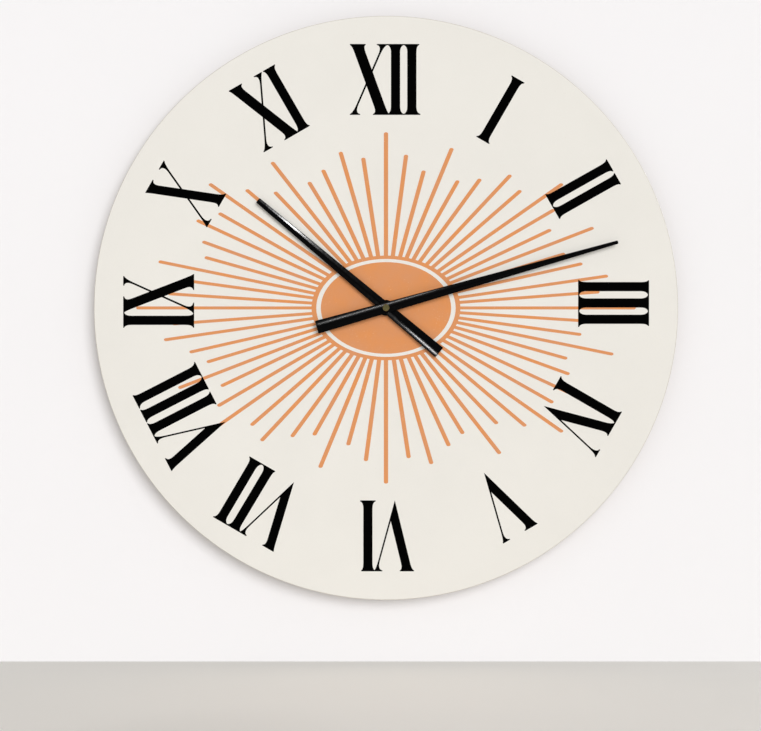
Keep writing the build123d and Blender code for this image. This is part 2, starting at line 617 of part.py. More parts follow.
with BuildPart() as positive_contact:
    leg_x = STRIP_TURN_X + CONTACT
    pad_low, pad_high = POSITIVE_PAD_LOW, POSITIVE_PAD_HIGH
    low, high = (CONTACT_X, CELL_Z - CONTACT_HALF), (CASE_INNER, CELL_Z + CONTACT_HALF)
    block(low, high, STRIP_BACK, CONTACT_DEPTH)
    block((CONTACT_X, CELL_Z), (CASE_INNER, STRIP_Z + CONTACT), STRIP_BACK, STRIP_WIDTH)
    block((STRIP_TURN_X, STRIP_Z), (CASE_INNER, STRIP_Z + CONTACT), STRIP_BACK, STRIP_WIDTH)
    block((STRIP_TURN_X, STRIP_Z), (leg_x, pad_low), STRIP_BACK, STRIP_WIDTH)
    block((STRIP_TURN_X, pad_low - STRIP_WIDTH / 2), (leg_x, pad_high), CIRCUIT_FRONT, CONTACT)
    block((STRIP_TURN_X, pad_low), (STRIP_TURN_X + POSITIVE_PAD_X, pad_high), CIRCUIT_FRONT, CONTACT)

SPRING_WIRE_R = 0.35
SPRING_R, SPRING_TURNS = 3.6, 2.0
SPRING_LEFT = -CONTACT_X + SPRING_WIRE_R
SPRING_GAP = 0.1  # to the cell

with BuildPart() as negative_contact:
    pad_low, pad_high = NEGATIVE_PAD_LOW, NEGATIVE_PAD_HIGH
    strip_front = BOARD_LEVEL + STRIP_WIDTH
    low, high = (-CASE_INNER, CELL_Z - CONTACT_HALF), (-CONTACT_X, CELL_Z + CONTACT_HALF)
    block(low, high, STRIP_BACK, CONTACT_DEPTH)
    block((-CASE_INNER, CELL_Z), (-CONTACT_X, pad_high), STRIP_BACK, strip_front - STRIP_BACK)
    block((-CASE_INNER, pad_low), (NEGATIVE_PAD_X, pad_high), CIRCUIT_FRONT, CONTACT)

with BuildPart() as negative_spring:
    spring_length = CELL_LEFT - SPRING_GAP - SPRING_WIRE_R - SPRING_LEFT
    with BuildLine():
        coil = Helix(
            pitch=spring_length / SPRING_TURNS,
            height=spring_length,
            radius=SPRING_R,
            center=(SPRING_LEFT, -CELL_HEIGHT, CELL_Z),
            direction=(1, 0, 0),
        )
    with BuildSketch(Plane(origin=coil @ 0, z_dir=coil % 0)):
        Circle(SPRING_WIRE_R)
    sweep()

# ------------------------------------------------------------------ wheels and their arbors
# In each pair the wheel has a tooth on the line of centres and the pinion has a gap there.
GOING_FACE = 0.8  # thickness of a wheel
ROTOR_PINION_BACK, ROTOR_PINION_FACE = 3.6, 1.2
STEP_WHEEL_BACK, STEP_PINION_FACE = 3.8, 1.8
SECONDS_WHEEL_BACK, SECONDS_PINION_FACE = 5.4, 1.9
THIRD_WHEEL_BACK, THIRD_PINION_FACE = 7.2, 2.2
CENTRE_WHEEL_BACK = 9.2
CLUTCH_R, CLUTCH_THICKNESS = 2.6, 0.3
CANNON_BACK = CENTRE_WHEEL_BACK + GOING_FACE + CLUTCH_THICKNESS
CANNON_FACE = 1.9
MINUTE_WHEEL_BACK, MINUTE_PINION_FACE = 11.2, 2.3
HOUR_WHEEL_BACK, HOUR_WHEEL_FACE = 13.2, 1.0
SETTING_PINION_BACK, SETTING_PINION_FACE = 11.0, 1.2
MAGNET_BACK, MAGNET_THICKNESS, MAGNET_BORE = 6.0, 2.0, 1.0
FRONT_PIVOT = CASE_INNER_FRONT - 2 * END_PLAY
PLATE_PIVOT = MIDDLE_PLATE_FRONT - END_PLAY
ARBOR_HOLE_R = ARBOR_R + 0.06  # in the pieces that turn on the seconds arbor
SECONDS_ARBOR_TOP, CANNON_BORE_TOP = 19.5, 20.0
MINUTE_PIPE_TOP = DIAL_FRONT + 11.6
HOUR_PIPE_TOP = DIAL_FRONT + 7.2

with BuildPart() as rotor_magnet:
    disc(ROTOR_MAGNET_R, MAGNET_BACK, MAGNET_THICKNESS, ROTOR_AT)
    disc(MAGNET_BORE, MAGNET_BACK, MAGNET_THICKNESS, ROTOR_AT, Mode.SUBTRACT)

with BuildPart() as rotor_pinion:
    pinion_front = ROTOR_PINION_BACK + ROTOR_PINION_FACE
    gear(10, ROTOR_MODULE, ROTOR_PINION_BACK, ROTOR_PINION_FACE, ROTOR_AT, ROTOR_ANGLE + 180 + 180 / 10)
    disc(MAGNET_BORE, pinion_front, MAGNET_BACK + MAGNET_THICKNESS - pinion_front, ROTOR_AT)
    disc(ARBOR_R, PIVOT_BACK, PLATE_PIVOT - PIVOT_BACK, ROTOR_AT)

with BuildPart() as step_wheel:
    pinion_back = STEP_WHEEL_BACK + GOING_FACE
    gear(50, ROTOR_MODULE, STEP_WHEEL_BACK, GOING_FACE, STEP_AT, ROTOR_ANGLE)
    gear(10, SECONDS_MODULE, pinion_back, STEP_PINION_FACE, STEP_AT, STEP_ANGLE + 180 + 180 / 10)
    disc(ARBOR_R, PIVOT_BACK, PLATE_PIVOT - PIVOT_BACK, STEP_AT)

with BuildPart() as seconds_wheel:
    pinion_back = SECONDS_WHEEL_BACK + GOING_FACE
    gear(60, SECONDS_MODULE, SECONDS_WHEEL_BACK, GOING_FACE, AXIS, STEP_ANGLE)
    gear(8, THIRD_MODULE, pinion_back, SECONDS_PINION_FACE, AXIS, THIRD_ANGLE + 180 / 8)
    disc(ARBOR_R, PIVOT_BACK, SECONDS_ARBOR_TOP - PIVOT_BACK)

with BuildPart() as third_wheel:
    pinion_back = THIRD_WHEEL_BACK + GOING_FACE
    gear(60, THIRD_MODULE, THIRD_WHEEL_BACK, GOING_FACE, THIRD_AT, THIRD_ANGLE + 180)
    gear(8, CENTRE_MODULE, pinion_back, THIRD_PINION_FACE, THIRD_AT, THIRD_ANGLE + 180 + 180 / 8)
    disc(ARBOR_R, PIVOT_BACK, FRONT_PIVOT - PIVOT_BACK, THIRD_AT)

with BuildPart() as centre_wheel:
    gear(64, CENTRE_MODULE, CENTRE_WHEEL_BACK, GOING_FACE, AXIS, THIRD_ANGLE)
    disc(ARBOR_HOLE_R, CENTRE_WHEEL_BACK, GOING_FACE, AXIS, Mode.SUBTRACT)

with BuildPart() as clutch_spring:
    disc(CLUTCH_R, CANNON_BACK - CLUTCH_THICKNESS, CLUTCH_THICKNESS)
    disc(ARBOR_HOLE_R, CANNON_BACK - CLUTCH_THICKNESS, CLUTCH_THICKNESS, AXIS, Mode.SUBTRACT)

with BuildPart() as minute_pipe:
    gear(12, MINUTE_MODULE, CANNON_BACK, CANNON_FACE, AXIS, MOTION_ANGLE + 180 / 12)
    disc(MINUTE_PIPE_R, CANNON_BACK, MINUTE_PIPE_TOP - CANNON_BACK)
    disc(ARBOR_HOLE_R, CANNON_BACK, CANNON_BORE_TOP - CANNON_BACK, AXIS, Mode.SUBTRACT)

with BuildPart() as minute_wheel:
    pinion_back = MINUTE_WHEEL_BACK + GOING_FACE
    arbor_back = MIDDLE_PLATE_BACK + 2 * END_PLAY
    gear(36, MINUTE_MODULE, MINUTE_WHEEL_BACK, GOING_FACE, MINUTE_AT, MOTION_ANGLE)
    gear(10, HOUR_MODULE, pinion_back, MINUTE_PINION_FACE, MINUTE_AT, MOTION_ANGLE + 180 + 180 / 10)
    disc(ARBOR_R, arbor_back, FRONT_PIVOT - arbor_back, MINUTE_AT)

with BuildPart() as hour_wheel:
    gear(40, HOUR_MODULE, HOUR_WHEEL_BACK, HOUR_WHEEL_FACE, AXIS, MOTION_ANGLE)
    disc(HOUR_PIPE_R, HOUR_WHEEL_BACK, HOUR_PIPE_TOP - HOUR_WHEEL_BACK)
    disc(HOUR_PIPE_BORE, HOUR_WHEEL_BACK, HOUR_PIPE_TOP, AXIS, Mode.SUBTRACT)

KNOB_BACK, KNOB_FRONT = 0.2, KNOB_WELL_DEPTH - 0.2
KNOB_GRIPS, GRIP_R = 24, 0.35
KNOB_SLOT_LENGTH, KNOB_SLOT_WIDTH, KNOB_SLOT_DEPTH = 7.2, 1.0, 0.6

with BuildPart() as setting_knob:
    disc(KNOB_R, KNOB_BACK, KNOB_FRONT - KNOB_BACK, KNOB_AT)
    with BuildSketch(front(KNOB_BACK)) as grips:
        with Locations(KNOB_AT):
            with PolarLocations(KNOB_R, KNOB_GRIPS):
                Circle(GRIP_R)
    extrude(grips.sketch, amount=KNOB_FRONT, mode=Mode.SUBTRACT)
    with BuildSketch(front(KNOB_BACK)) as coin_slot:
        with Locations(KNOB_AT):
            SlotOverall(KNOB_SLOT_LENGTH, KNOB_SLOT_WIDTH)
    extrude(coin_slot.sketch, amount=KNOB_SLOT_DEPTH, mode=Mode.SUBTRACT)
    disc(KNOB_SHAFT_R, KNOB_FRONT, SETTING_PINION_BACK - KNOB_FRONT, KNOB_AT)

with BuildPart() as setting_pinion:
    pinion_phase = MOTION_ANGLE + 180 + 180 / 12
    gear(12, MINUTE_MODULE, SETTING_PINION_BACK, SETTING_PINION_FACE, KNOB_AT, pinion_phase)
    disc(KNOB_SHAFT_R, SETTING_PINION_BACK, FRONT_PIVOT - SETTING_PINION_BACK, KNOB_AT)

# ------------------------------------------------------------------ hanger, gasket, washer and nut
PLATE_HALF_WIDTH, PLATE_FOOT, PLATE_ROUND = 16.0, -16.0, 2.0
BEND_Z = 30.0  # where the joggle to the tab begins
JOGGLE = 4.0  # how far up the joggle's ramp runs
BEND_RELIEF = 0.6  # how much lower the ramp's rear side begins and ends
TAB_BACK = 9.0  # height of the tab's back face
TAB_HALF_WIDTH, TAB_TOP, TAB_ROUND = 11.0, 54.0, 6.0
KEYHOLE_AT, KEYHOLE_R = (0.0, 40.0), 4.5
KEY_SLOT_R, KEY_SLOT_TOP = 2.1, 46.5
HANGER_HOLE_R = BUSHING_R + 0.2

with BuildPart() as wall_hanger:
    plate_low, plate_high = (-PLATE_HALF_WIDTH, PLATE_FOOT), (PLATE_HALF_WIDTH, BEND_Z + 1)
    block(plate_low, plate_high, HANGER_BACK, HANGER_THICKNESS, PLATE_ROUND)
    with BuildSketch(Plane.YZ.offset(-TAB_HALF_WIDTH)):
        with BuildLine():
            Polyline(
                (-GASKET_BACK, BEND_Z - JOGGLE),
                (-GASKET_BACK, BEND_Z),
                (-TAB_BACK - HANGER_THICKNESS, BEND_Z + JOGGLE),
                (-TAB_BACK - HANGER_THICKNESS, BEND_Z + 2 * JOGGLE),
                (-TAB_BACK, BEND_Z + 2 * JOGGLE),
                (-TAB_BACK, BEND_Z + JOGGLE - BEND_RELIEF),
                (-HANGER_BACK, BEND_Z - BEND_RELIEF),
                (-HANGER_BACK, BEND_Z - JOGGLE),
                close=True,
            )
        make_face()
    extrude(amount=2 * TAB_HALF_WIDTH)
    tab_low, tab_high = (-TAB_HALF_WIDTH, BEND_Z + 1.5 * JOGGLE), (TAB_HALF_WIDTH, TAB_TOP)
    block(tab_low, tab_high, TAB_BACK, HANGER_THICKNESS)
    tab_corners = wall_hanger.edges().filter_by(Axis.Y).group_by(Axis.Z)[-1]
    fillet(tab_corners, TAB_ROUND)
    disc(KEYHOLE_R, TAB_BACK, HANGER_THICKNESS, KEYHOLE_AT, Mode.SUBTRACT)
    slot_low, slot_high = (-KEY_SLOT_R, KEYHOLE_AT[1]), (KEY_SLOT_R, KEY_SLOT_TOP)
    block(slot_low, slot_high, TAB_BACK, HANGER_THICKNESS, mode=Mode.SUBTRACT)
    disc(KEY_SLOT_R, TAB_BACK, HANGER_THICKNESS, (0, KEY_SLOT_TOP), Mode.SUBTRACT)
    disc(HANGER_HOLE_R, HANGER_BACK, HANGER_THICKNESS, AXIS, Mode.SUBTRACT)

GASKET_R, WASHER_R, WASHER_THICKNESS = 13.0, 9.0, 0.6
BUSHING_PLAY = 0.1
NUT_FLATS, NUT_THICKNESS = 14.0, 2.5
WASHER_BACK = DIAL_FRONT + INK_THICKNESS

with BuildPart() as rubber_gasket:
    disc(GASKET_R, GASKET_BACK, GASKET_THICKNESS)
    disc(BUSHING_R + BUSHING_PLAY, GASKET_BACK, GASKET_THICKNESS, AXIS, Mode.SUBTRACT)

with BuildPart() as dial_washer:
    disc(WASHER_R, WASHER_BACK, WASHER_THICKNESS)
    disc(BUSHING_R + BUSHING_PLAY, WASHER_BACK, WASHER_THICKNESS, AXIS, Mode.SUBTRACT)

with BuildPart() as fixing_nut:
    with BuildSketch(front(WASHER_BACK + WASHER_THICKNESS)) as hexagon:
        RegularPolygon(NUT_FLATS / 2, 6, major_radius=False)
        Circle(BUSHING_R, mode=Mode.SUBTRACT)
    extrude(hexagon.sketch, amount=NUT_THICKNESS)

# ------------------------------------------------------------------ hands
HOUR_HAND_BACK = DIAL_FRONT + 4.8
MINUTE_HAND_BACK = DIAL_FRONT + 8.2
HUB_R, HUB_THICKNESS = 10.0, 0.8
HOUR_BUSH_R, MINUTE_BUSH_R = 4.4, 3.2
BUSH_LIP = 0.4  # how far a bush stands out behind its hand
HAND_NUT_R, HAND_NUT_ROUND = 4.4, 1.5
HAND_NUT_BACK = MINUTE_HAND_BACK + 2.1
HAND_NUT_TOP = HAND_NUT_BACK + 2.9


def hand_blade(angle, height, tail, tail_width, length, tip_width):
    """A tapered sheet folded along its middle, so that two flat facets meet in a ridge."""
    turn = math.radians(angle)
    pointing = Vector(math.sin(turn), 0, math.cos(turn))
    across = (-math.cos(turn), 0, math.sin(turn))
    ends = []
    for reach, width in ((-tail, tail_width), (length, tip_width)):
        start = pointing * reach + Vector(0, -height, 0)
        rise = width / 2 * math.tan(math.radians(HAND_SLOPE))
        with BuildSketch(Plane(origin=start, x_dir=across, z_dir=pointing)) as section:
            with BuildLine():
                Polyline(
                    (-width / 2, 0),
                    (0, rise),
                    (width / 2, 0),
                    (width / 2, HAND_SHEET),
                    (0, rise + HAND_SHEET),
                    (-width / 2, HAND_SHEET),
                    close=True,
                )
            make_face()
        ends.append(section.sketch.face())
    loft(ends, ruled=True)


with BuildPart() as hour_hand:
    hand_blade(HOUR_ANGLE, HOUR_HAND_BACK, HOUR_TAIL, HOUR_TAIL_WIDTH, HOUR_LENGTH, HOUR_TIP_WIDTH)
    disc(HUB_R, HOUR_HAND_BACK, HUB_THICKNESS)
    disc(HOUR_BUSH_R, HOUR_HAND_BACK, HUB_R, AXIS, Mode.SUBTRACT)

with BuildPart() as hour_hand_bush:
    bush_back = HOUR_HAND_BACK - BUSH_LIP
    disc(HOUR_BUSH_R, bush_back, HOUR_PIPE_TOP - bush_back)
    disc(HOUR_PIPE_R, bush_back, HOUR_PIPE_TOP - bush_back, AXIS, Mode.SUBTRACT)

with BuildPart() as minute_hand:
    blade_ends = (MINUTE_TAIL, MINUTE_TAIL_WIDTH, MINUTE_LENGTH, MINUTE_TIP_WIDTH)
    hand_blade(MINUTE_ANGLE, MINUTE_HAND_BACK, *blade_ends)
    disc(MINUTE_BUSH_R, MINUTE_HAND_BACK, HUB_R, AXIS, Mode.SUBTRACT)

with BuildPart() as minute_hand_bush:
    bush_back = MINUTE_HAND_BACK - BUSH_LIP
    disc(MINUTE_BUSH_R, bush_back, HAND_NUT_BACK - bush_back)
    disc(MINUTE_PIPE_R, bush_back, HAND_NUT_BACK - bush_back, AXIS, Mode.SUBTRACT)

with BuildPart() as hand_nut:
    disc(HAND_NUT_R, HAND_NUT_BACK, HAND_NUT_TOP - HAND_NUT_BACK)
    fillet(hand_nut.edges().filter_by(GeomType.CIRCLE).sort_by(Axis.Y)[0], HAND_NUT_ROUND)
    disc(MINUTE_PIPE_R, HAND_NUT_BACK, MINUTE_PIPE_TOP - HAND_NUT_BACK, AXIS, Mode.SUBTRACT)

# ------------------------------------------------------------------ write one file for each piece
PIECES = {
    "dial_board": dial_board,
    "face_laminate": face_laminate,
    "printed_numerals": printed_numerals,
    "printed_sunburst": printed_sunburst,
    "rear_cover": rear_cover,
    "front_case": front_case,
    "threaded_bushing": threaded_bushing,
    "middle_plate": middle_plate,
    "plate_screws": plate_screws,
    "stator": stator,
    "coil_core": coil_core,
    "core_screws": core_screws,
    "coil_bobbin": coil_bobbin,
    "coil_winding": coil_winding,
    "circuit_board": circuit_board,
    "chip_cover": chip_cover,
    "quartz_crystal": quartz_crystal,
    "battery_cell": battery_cell,
    "battery_jacket": battery_jacket,
    "positive_contact": positive_contact,
    "negative_contact": negative_contact,
    "negative_spring": negative_spring,
    "rotor_magnet": rotor_magnet,
    "rotor_pinion": rotor_pinion,
    "step_wheel": step_wheel,
    "seconds_wheel": seconds_wheel,
    "third_wheel": third_wheel,
    "centre_wheel": centre_wheel,
    "clutch_spring": clutch_spring,
    "minute_pipe": minute_pipe,
    "minute_wheel": minute_wheel,
    "hour_wheel": hour_wheel,
    "setting_knob": setting_knob,
    "setting_pinion": setting_pinion,
    "wall_hanger": wall_hanger,
    "rubber_gasket": rubber_gasket,
    "dial_washer": dial_washer,
    "fixing_nut": fixing_nut,
    "hour_hand": hour_hand,
    "hour_hand_bush": hour_hand_bush,
    "minute_hand": minute_hand,
    "minute_hand_bush": minute_hand_bush,
    "hand_nut": hand_nut,
}

os.makedirs("parts", exist_ok=True)
for name, piece in PIECES.items():
    piece.part.label = name
    export_step(piece.part, f"parts/{name}.step")
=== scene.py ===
"""Looks of the sunburst wall clock: materials, finer meshes for some of its pieces, and a small studio.

Everything is in metres in the CAD's own frame: the dial faces -Y, the wall is at Y = 0 and +Z is up.
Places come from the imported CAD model. Sizes that only the looks need are named beside their use.
"""

import bmesh
import bpy
import json
import math
from mathutils import Matrix, Vector

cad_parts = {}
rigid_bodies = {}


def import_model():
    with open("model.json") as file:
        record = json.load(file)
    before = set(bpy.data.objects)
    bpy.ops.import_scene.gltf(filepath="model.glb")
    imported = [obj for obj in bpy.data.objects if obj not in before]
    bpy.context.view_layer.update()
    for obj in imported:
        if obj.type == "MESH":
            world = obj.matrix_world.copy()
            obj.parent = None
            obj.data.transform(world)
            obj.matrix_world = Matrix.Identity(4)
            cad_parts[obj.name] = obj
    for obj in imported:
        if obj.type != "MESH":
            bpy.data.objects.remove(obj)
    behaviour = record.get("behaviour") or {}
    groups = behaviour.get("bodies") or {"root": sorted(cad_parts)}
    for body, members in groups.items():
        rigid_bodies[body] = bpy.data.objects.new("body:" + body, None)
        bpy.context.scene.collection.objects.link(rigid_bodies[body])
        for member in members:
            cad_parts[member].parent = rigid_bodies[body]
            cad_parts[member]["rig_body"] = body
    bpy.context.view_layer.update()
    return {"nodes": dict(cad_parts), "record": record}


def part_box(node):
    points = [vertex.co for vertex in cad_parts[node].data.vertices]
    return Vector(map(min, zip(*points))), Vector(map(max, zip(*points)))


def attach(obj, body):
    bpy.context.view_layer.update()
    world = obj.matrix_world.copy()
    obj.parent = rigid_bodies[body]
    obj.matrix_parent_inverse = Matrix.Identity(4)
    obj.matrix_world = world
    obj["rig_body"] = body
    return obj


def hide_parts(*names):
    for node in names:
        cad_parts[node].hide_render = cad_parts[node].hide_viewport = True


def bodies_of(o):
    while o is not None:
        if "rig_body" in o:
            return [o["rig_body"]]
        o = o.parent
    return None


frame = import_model()
nodes = frame["nodes"]

MM = 0.001
OUT = Vector((0, -1, 0))  # from the wall towards the viewer


def srgb(red, green, blue):
    """An 8-bit display colour as the linear colour that a shader takes."""
    values = []
    for channel in (red, green, blue):
        share = channel / 255
        values.append(share / 12.92 if share <= 0.04045 else ((share + 0.055) / 1.055) ** 2.4)
    return (*values, 1.0)


# ------------------------------------------------------------------ camera
PICTURE_WIDTH, DIAL_WIDTH = 761, 584.4  # of the picture and of the dial in it
CAMERA_LENS, SENSOR = 85.0, 36.0
CAMERA_X, CAMERA_Z = -0.0069, -0.0726  # the dial hangs a little above and right of the picture's middle

dial_low, dial_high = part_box("face_laminate")
board_low, board_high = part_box("dial_board")
dial_front = dial_low.y
picture_span = (board_high.x - board_low.x) * PICTURE_WIDTH / DIAL_WIDTH
camera_distance = picture_span * CAMERA_LENS / SENSOR

camera_data = bpy.data.cameras.new("camera")
camera_data.lens = CAMERA_LENS
camera_data.sensor_width = SENSOR
camera_data.clip_start, camera_data.clip_end = 0.05, 50.0
camera = bpy.data.objects.new("camera", camera_data)
camera.location = (CAMERA_X, dial_front - camera_distance, CAMERA_Z)
camera.rotation_euler = (math.pi / 2, 0, 0)
bpy.context.scene.collection.objects.link(camera)
bpy.context.scene.camera = camera
bpy.context.scene.view_settings.view_transform = "Standard"


# ------------------------------------------------------------------ materials: the node builder
class Finish:
    """A material under construction: its Principled shader, and short ways to add what feeds it."""

    def __init__(self, name, **constants):
        self.material = bpy.data.materials.new(name)
        self.material.use_nodes = True
        self.tree = self.material.node_tree
        self.shader = self.tree.nodes["Principled BSDF"]
        self.place = self.tree.nodes.new("ShaderNodeTexCoord").outputs["Object"]
        self.set(**constants)

    def feed(self, socket, value):
        if isinstance(value, bpy.types.NodeSocket):
            self.tree.links.new(value, socket)
        else:
            socket.default_value = value

    def set(self, **values):
        for name, value in values.items():
            self.feed(self.shader.inputs[name.replace("_", " ")], value)
        return self

    def node(self, kind, settings=None, **values):
        made = self.tree.nodes.new("ShaderNode" + kind)
        for name, value in (settings or {}).items():
            setattr(made, name, value)
        for name, value in values.items():
            self.feed(made.inputs[name.replace("_", " ")], value)
        return made

    def stretched(self, along, turn=(0, 0, 0)):
        """The place, scaled on each axis, for marks that are longer one way."""
        return self.node("Mapping", Vector=self.place, Scale=along, Rotation=turn).outputs[0]

    def noise(self, size, detail=3.0, roughness=0.55, vector=None):
        """Soft noise, from 0 to 1, whose marks are about as large as size in metres."""
        made = self.node("TexNoise", Scale=1 / size, Detail=detail, Roughness=roughness)
        self.feed(made.inputs["Vector"], vector or self.place)
        return made.outputs["Fac"]

    def cells(self, size, vector=None, feature="F1"):
        """Distance from the nearest of points scattered about size apart."""
        made = self.node("TexVoronoi", {"feature": feature}, Scale=1 / size)
        self.feed(made.inputs["Vector"], vector or self.place)
        return made.outputs["Distance"]

    def ramp(self, source, *stops):
        """A colour or a grey for each position from 0 to 1."""
        made = self.node("ValToRGB", Fac=source)
        points = made.color_ramp.elements
        while len(points) < len(stops):
            points.new(0.5)
        for point, (position, colour) in zip(points, stops):
            point.position = position
            point.color = colour if isinstance(colour, tuple) else (colour, colour, colour, 1.0)
        return made.outputs["Color"]

    def math(self, operation, first, second=0.0):
        made = self.node("Math", {"operation": operation})
        self.feed(made.inputs[0], first)
        self.feed(made.inputs[1], second)
        return made.outputs[0]

    def mix(self, share, first, second, blend="MIX"):
        made = self.node("Mix", {"data_type": "RGBA", "blend_type": blend})
        self.feed(made.inputs[0], share)
        self.feed(made.inputs[6], first)
        self.feed(made.inputs[7], second)
        return made.outputs[2]

    def axis(self, letter):
        return self.node("SeparateXYZ", Vector=self.place).outputs[letter]

    def spin(self, centre=(0, 0)):
        """Distance from a line parallel to the clock's axis through (x, z)."""
        moved = self.node("Mapping", Vector=self.place, Location=(-centre[0], 0, -centre[1])).outputs[0]
        flat = self.node("VectorMath", {"operation": "MULTIPLY"})
        self.feed(flat.inputs[0], moved)
        flat.inputs[1].default_value = (1, 0, 1)
        length = self.node("VectorMath", {"operation": "LENGTH"})
        self.feed(length.inputs[0], flat.outputs[0])
        return length.outputs["Value"]

    def relief(self, height, depth, strength=1.0):
        """Bump whose full height is depth in metres."""
        bump = self.node("Bump", Strength=strength, Distance=depth, Height=height)
        self.set(Normal=bump.outputs["Normal"])
        return self


# ------------------------------------------------------------------ materials: print and board
ORANGE = srgb(225, 151, 98)
INK_BLACK = srgb(1, 1, 1)


def paper_grain(finish):
    """Fine tooth of the printed sheet."""
    coarse = finish.math("MULTIPLY", finish.noise(7 * MM, 2.0), 0.6)
    return finish.math("ADD", finish.noise(0.9 * MM, 4.0), coarse)


def cream_print():
    finish = Finish("cream_print", Roughness=0.6, Specular_IOR_Level=0.35)
    clouds = finish.ramp(finish.noise(0.11, 3.0), (0.3, srgb(237, 234, 227)), (0.7, srgb(240, 237, 230)))
    fibres = finish.noise(1.4 * MM, 5.0, 0.7, finish.stretched((1, 1, 0.35), (0, 0.6, 0)))
    toned = finish.mix(finish.ramp(fibres, (0.55, 0.0), (0.8, 0.35)), clouds, srgb(230, 224, 214))
    specks = finish.ramp(finish.cells(9 * MM), (0.0, 1.0), (0.035, 0.8), (0.055, 0.0))
    rare = finish.ramp(finish.noise(30 * MM, 1.0), (0.5, 0.0), (0.62, 0.5))
    spotted = finish.mix(finish.math("MULTIPLY", specks, rare), toned, srgb(214, 205, 190))
    finish.set(Base_Color=spotted)
    finish.set(Roughness=finish.ramp(finish.noise(2.2 * MM), (0.3, 0.56), (0.7, 0.66)))
    return finish.relief(paper_grain(finish), 0.02 * MM, 0.5)


def orange_ink():
    finish = Finish("orange_ink", Roughness=0.55, Specular_IOR_Level=0.35)
    hue = finish.ramp(
        finish.noise(0.028, 3.0),
        (0.3, srgb(222, 152, 105)),
        (0.5, ORANGE),
        (0.7, srgb(230, 151, 90)),
    )
    thin = finish.ramp(finish.noise(3.2 * MM, 5.0, 0.75), (0.58, 0.0), (0.75, 0.5))
    patches = finish.ramp(finish.noise(0.034, 2.0), (0.46, 0.0), (0.64, 1.0))
    faded = finish.mix(finish.math("MULTIPLY", thin, patches), hue, srgb(243, 196, 158))
    dust = finish.ramp(finish.cells(2.6 * MM), (0.0, 1.0), (0.1, 0.85), (0.17, 0.0))
    dusty = finish.ramp(finish.noise(0.016, 2.0, 0.6), (0.52, 0.0), (0.66, 0.9))
    worn = finish.mix(finish.math("MULTIPLY", dust, dusty), faded, srgb(246, 214, 186))
    finish.set(Base_Color=worn)
    finish.set(Roughness=finish.ramp(finish.noise(1.8 * MM), (0.3, 0.5), (0.7, 0.62)))
    return finish.relief(paper_grain(finish), 0.02 * MM, 0.5)


def black_ink():
    finish = Finish("black_ink", Roughness=0.6, Specular_IOR_Level=0.03)
    lifted = finish.ramp(finish.noise(0.8 * MM, 4.0, 0.7), (0.62, INK_BLACK), (0.85, srgb(18, 17, 16)))
    finish.set(Base_Color=lifted)
    finish.set(Roughness=finish.ramp(finish.noise(2.5 * MM), (0.3, 0.52), (0.7, 0.66)))
    return finish.relief(paper_grain(finish), 0.02 * MM, 0.4)


def fibreboard():
    """Raw fibreboard at the back, with a pale sealed edge that wraps onto the front."""
    finish = Finish("fibreboard", Specular_IOR_Level=0.3)
    fibres = finish.noise(0.7 * MM, 8.0, 0.75, finish.stretched((1, 1, 0.5), (0, 0.4, 0)))
    dark, middle, light = srgb(146, 114, 80), srgb(164, 131, 94), srgb(180, 148, 110)
    brown = finish.ramp(fibres, (0.3, dark), (0.5, middle), (0.72, light))
    chips = finish.cells(2.4 * MM, finish.stretched((1, 1, 0.3), (0, 0.9, 0)))
    flakes = finish.ramp(chips, (0.05, 1.0), (0.16, 0.0))
    flecked = finish.mix(finish.math("MULTIPLY", flakes, 0.45), brown, srgb(96, 68, 42))
    clouds = finish.ramp(finish.noise(0.16, 2.0), (0.3, srgb(232, 226, 216)), (0.7, srgb(255, 252, 246)))
    board = finish.mix(0.55, flecked, clouds, "MULTIPLY")
    rim_radius = board_high.x - 1.2 * MM
    wander = finish.math("MULTIPLY", finish.noise(4 * MM, 4.0), 1.2 * MM)
    ragged = finish.math("ADD", finish.spin(), wander)
    on_rim = finish.math("GREATER_THAN", ragged, rim_radius)
    clouded = finish.noise(5 * MM, 5.0)
    edge_paint = finish.ramp(clouded, (0.35, srgb(214, 209, 200)), (0.75, srgb(226, 222, 214)))
    finish.set(Base_Color=finish.mix(on_rim, board, edge_paint))
    rough = finish.ramp(fibres, (0.3, 0.72), (0.7, 0.88))
    finish.set(Roughness=finish.mix(on_rim, rough, (0.55, 0.55, 0.55, 1)))
    return finish.relief(finish.math("ADD", fibres, finish.noise(6 * MM, 3.0)), 0.06 * MM, 0.6)


# ------------------------------------------------------------------ materials: metal
def gloss_black():
    """Sprayed gloss black, with a slight orange peel and settled dust."""
    finish = Finish("gloss_black", Specular_IOR_Level=0.07)
    dust = finish.ramp(finish.cells(3.5 * MM), (0.0, 1.0), (0.04, 0.6), (0.07, 0.0))
    finish.set(Base_Color=finish.mix(finish.math("MULTIPLY", dust, 0.25), srgb(2, 2, 3), srgb(40, 40, 42)))
    finish.set(Roughness=finish.ramp(finish.noise(5 * MM, 4.0), (0.35, 0.09), (0.75, 0.14)))
    return finish.relief(finish.noise(3.2 * MM, 1.0), 0.004 * MM, 0.3)


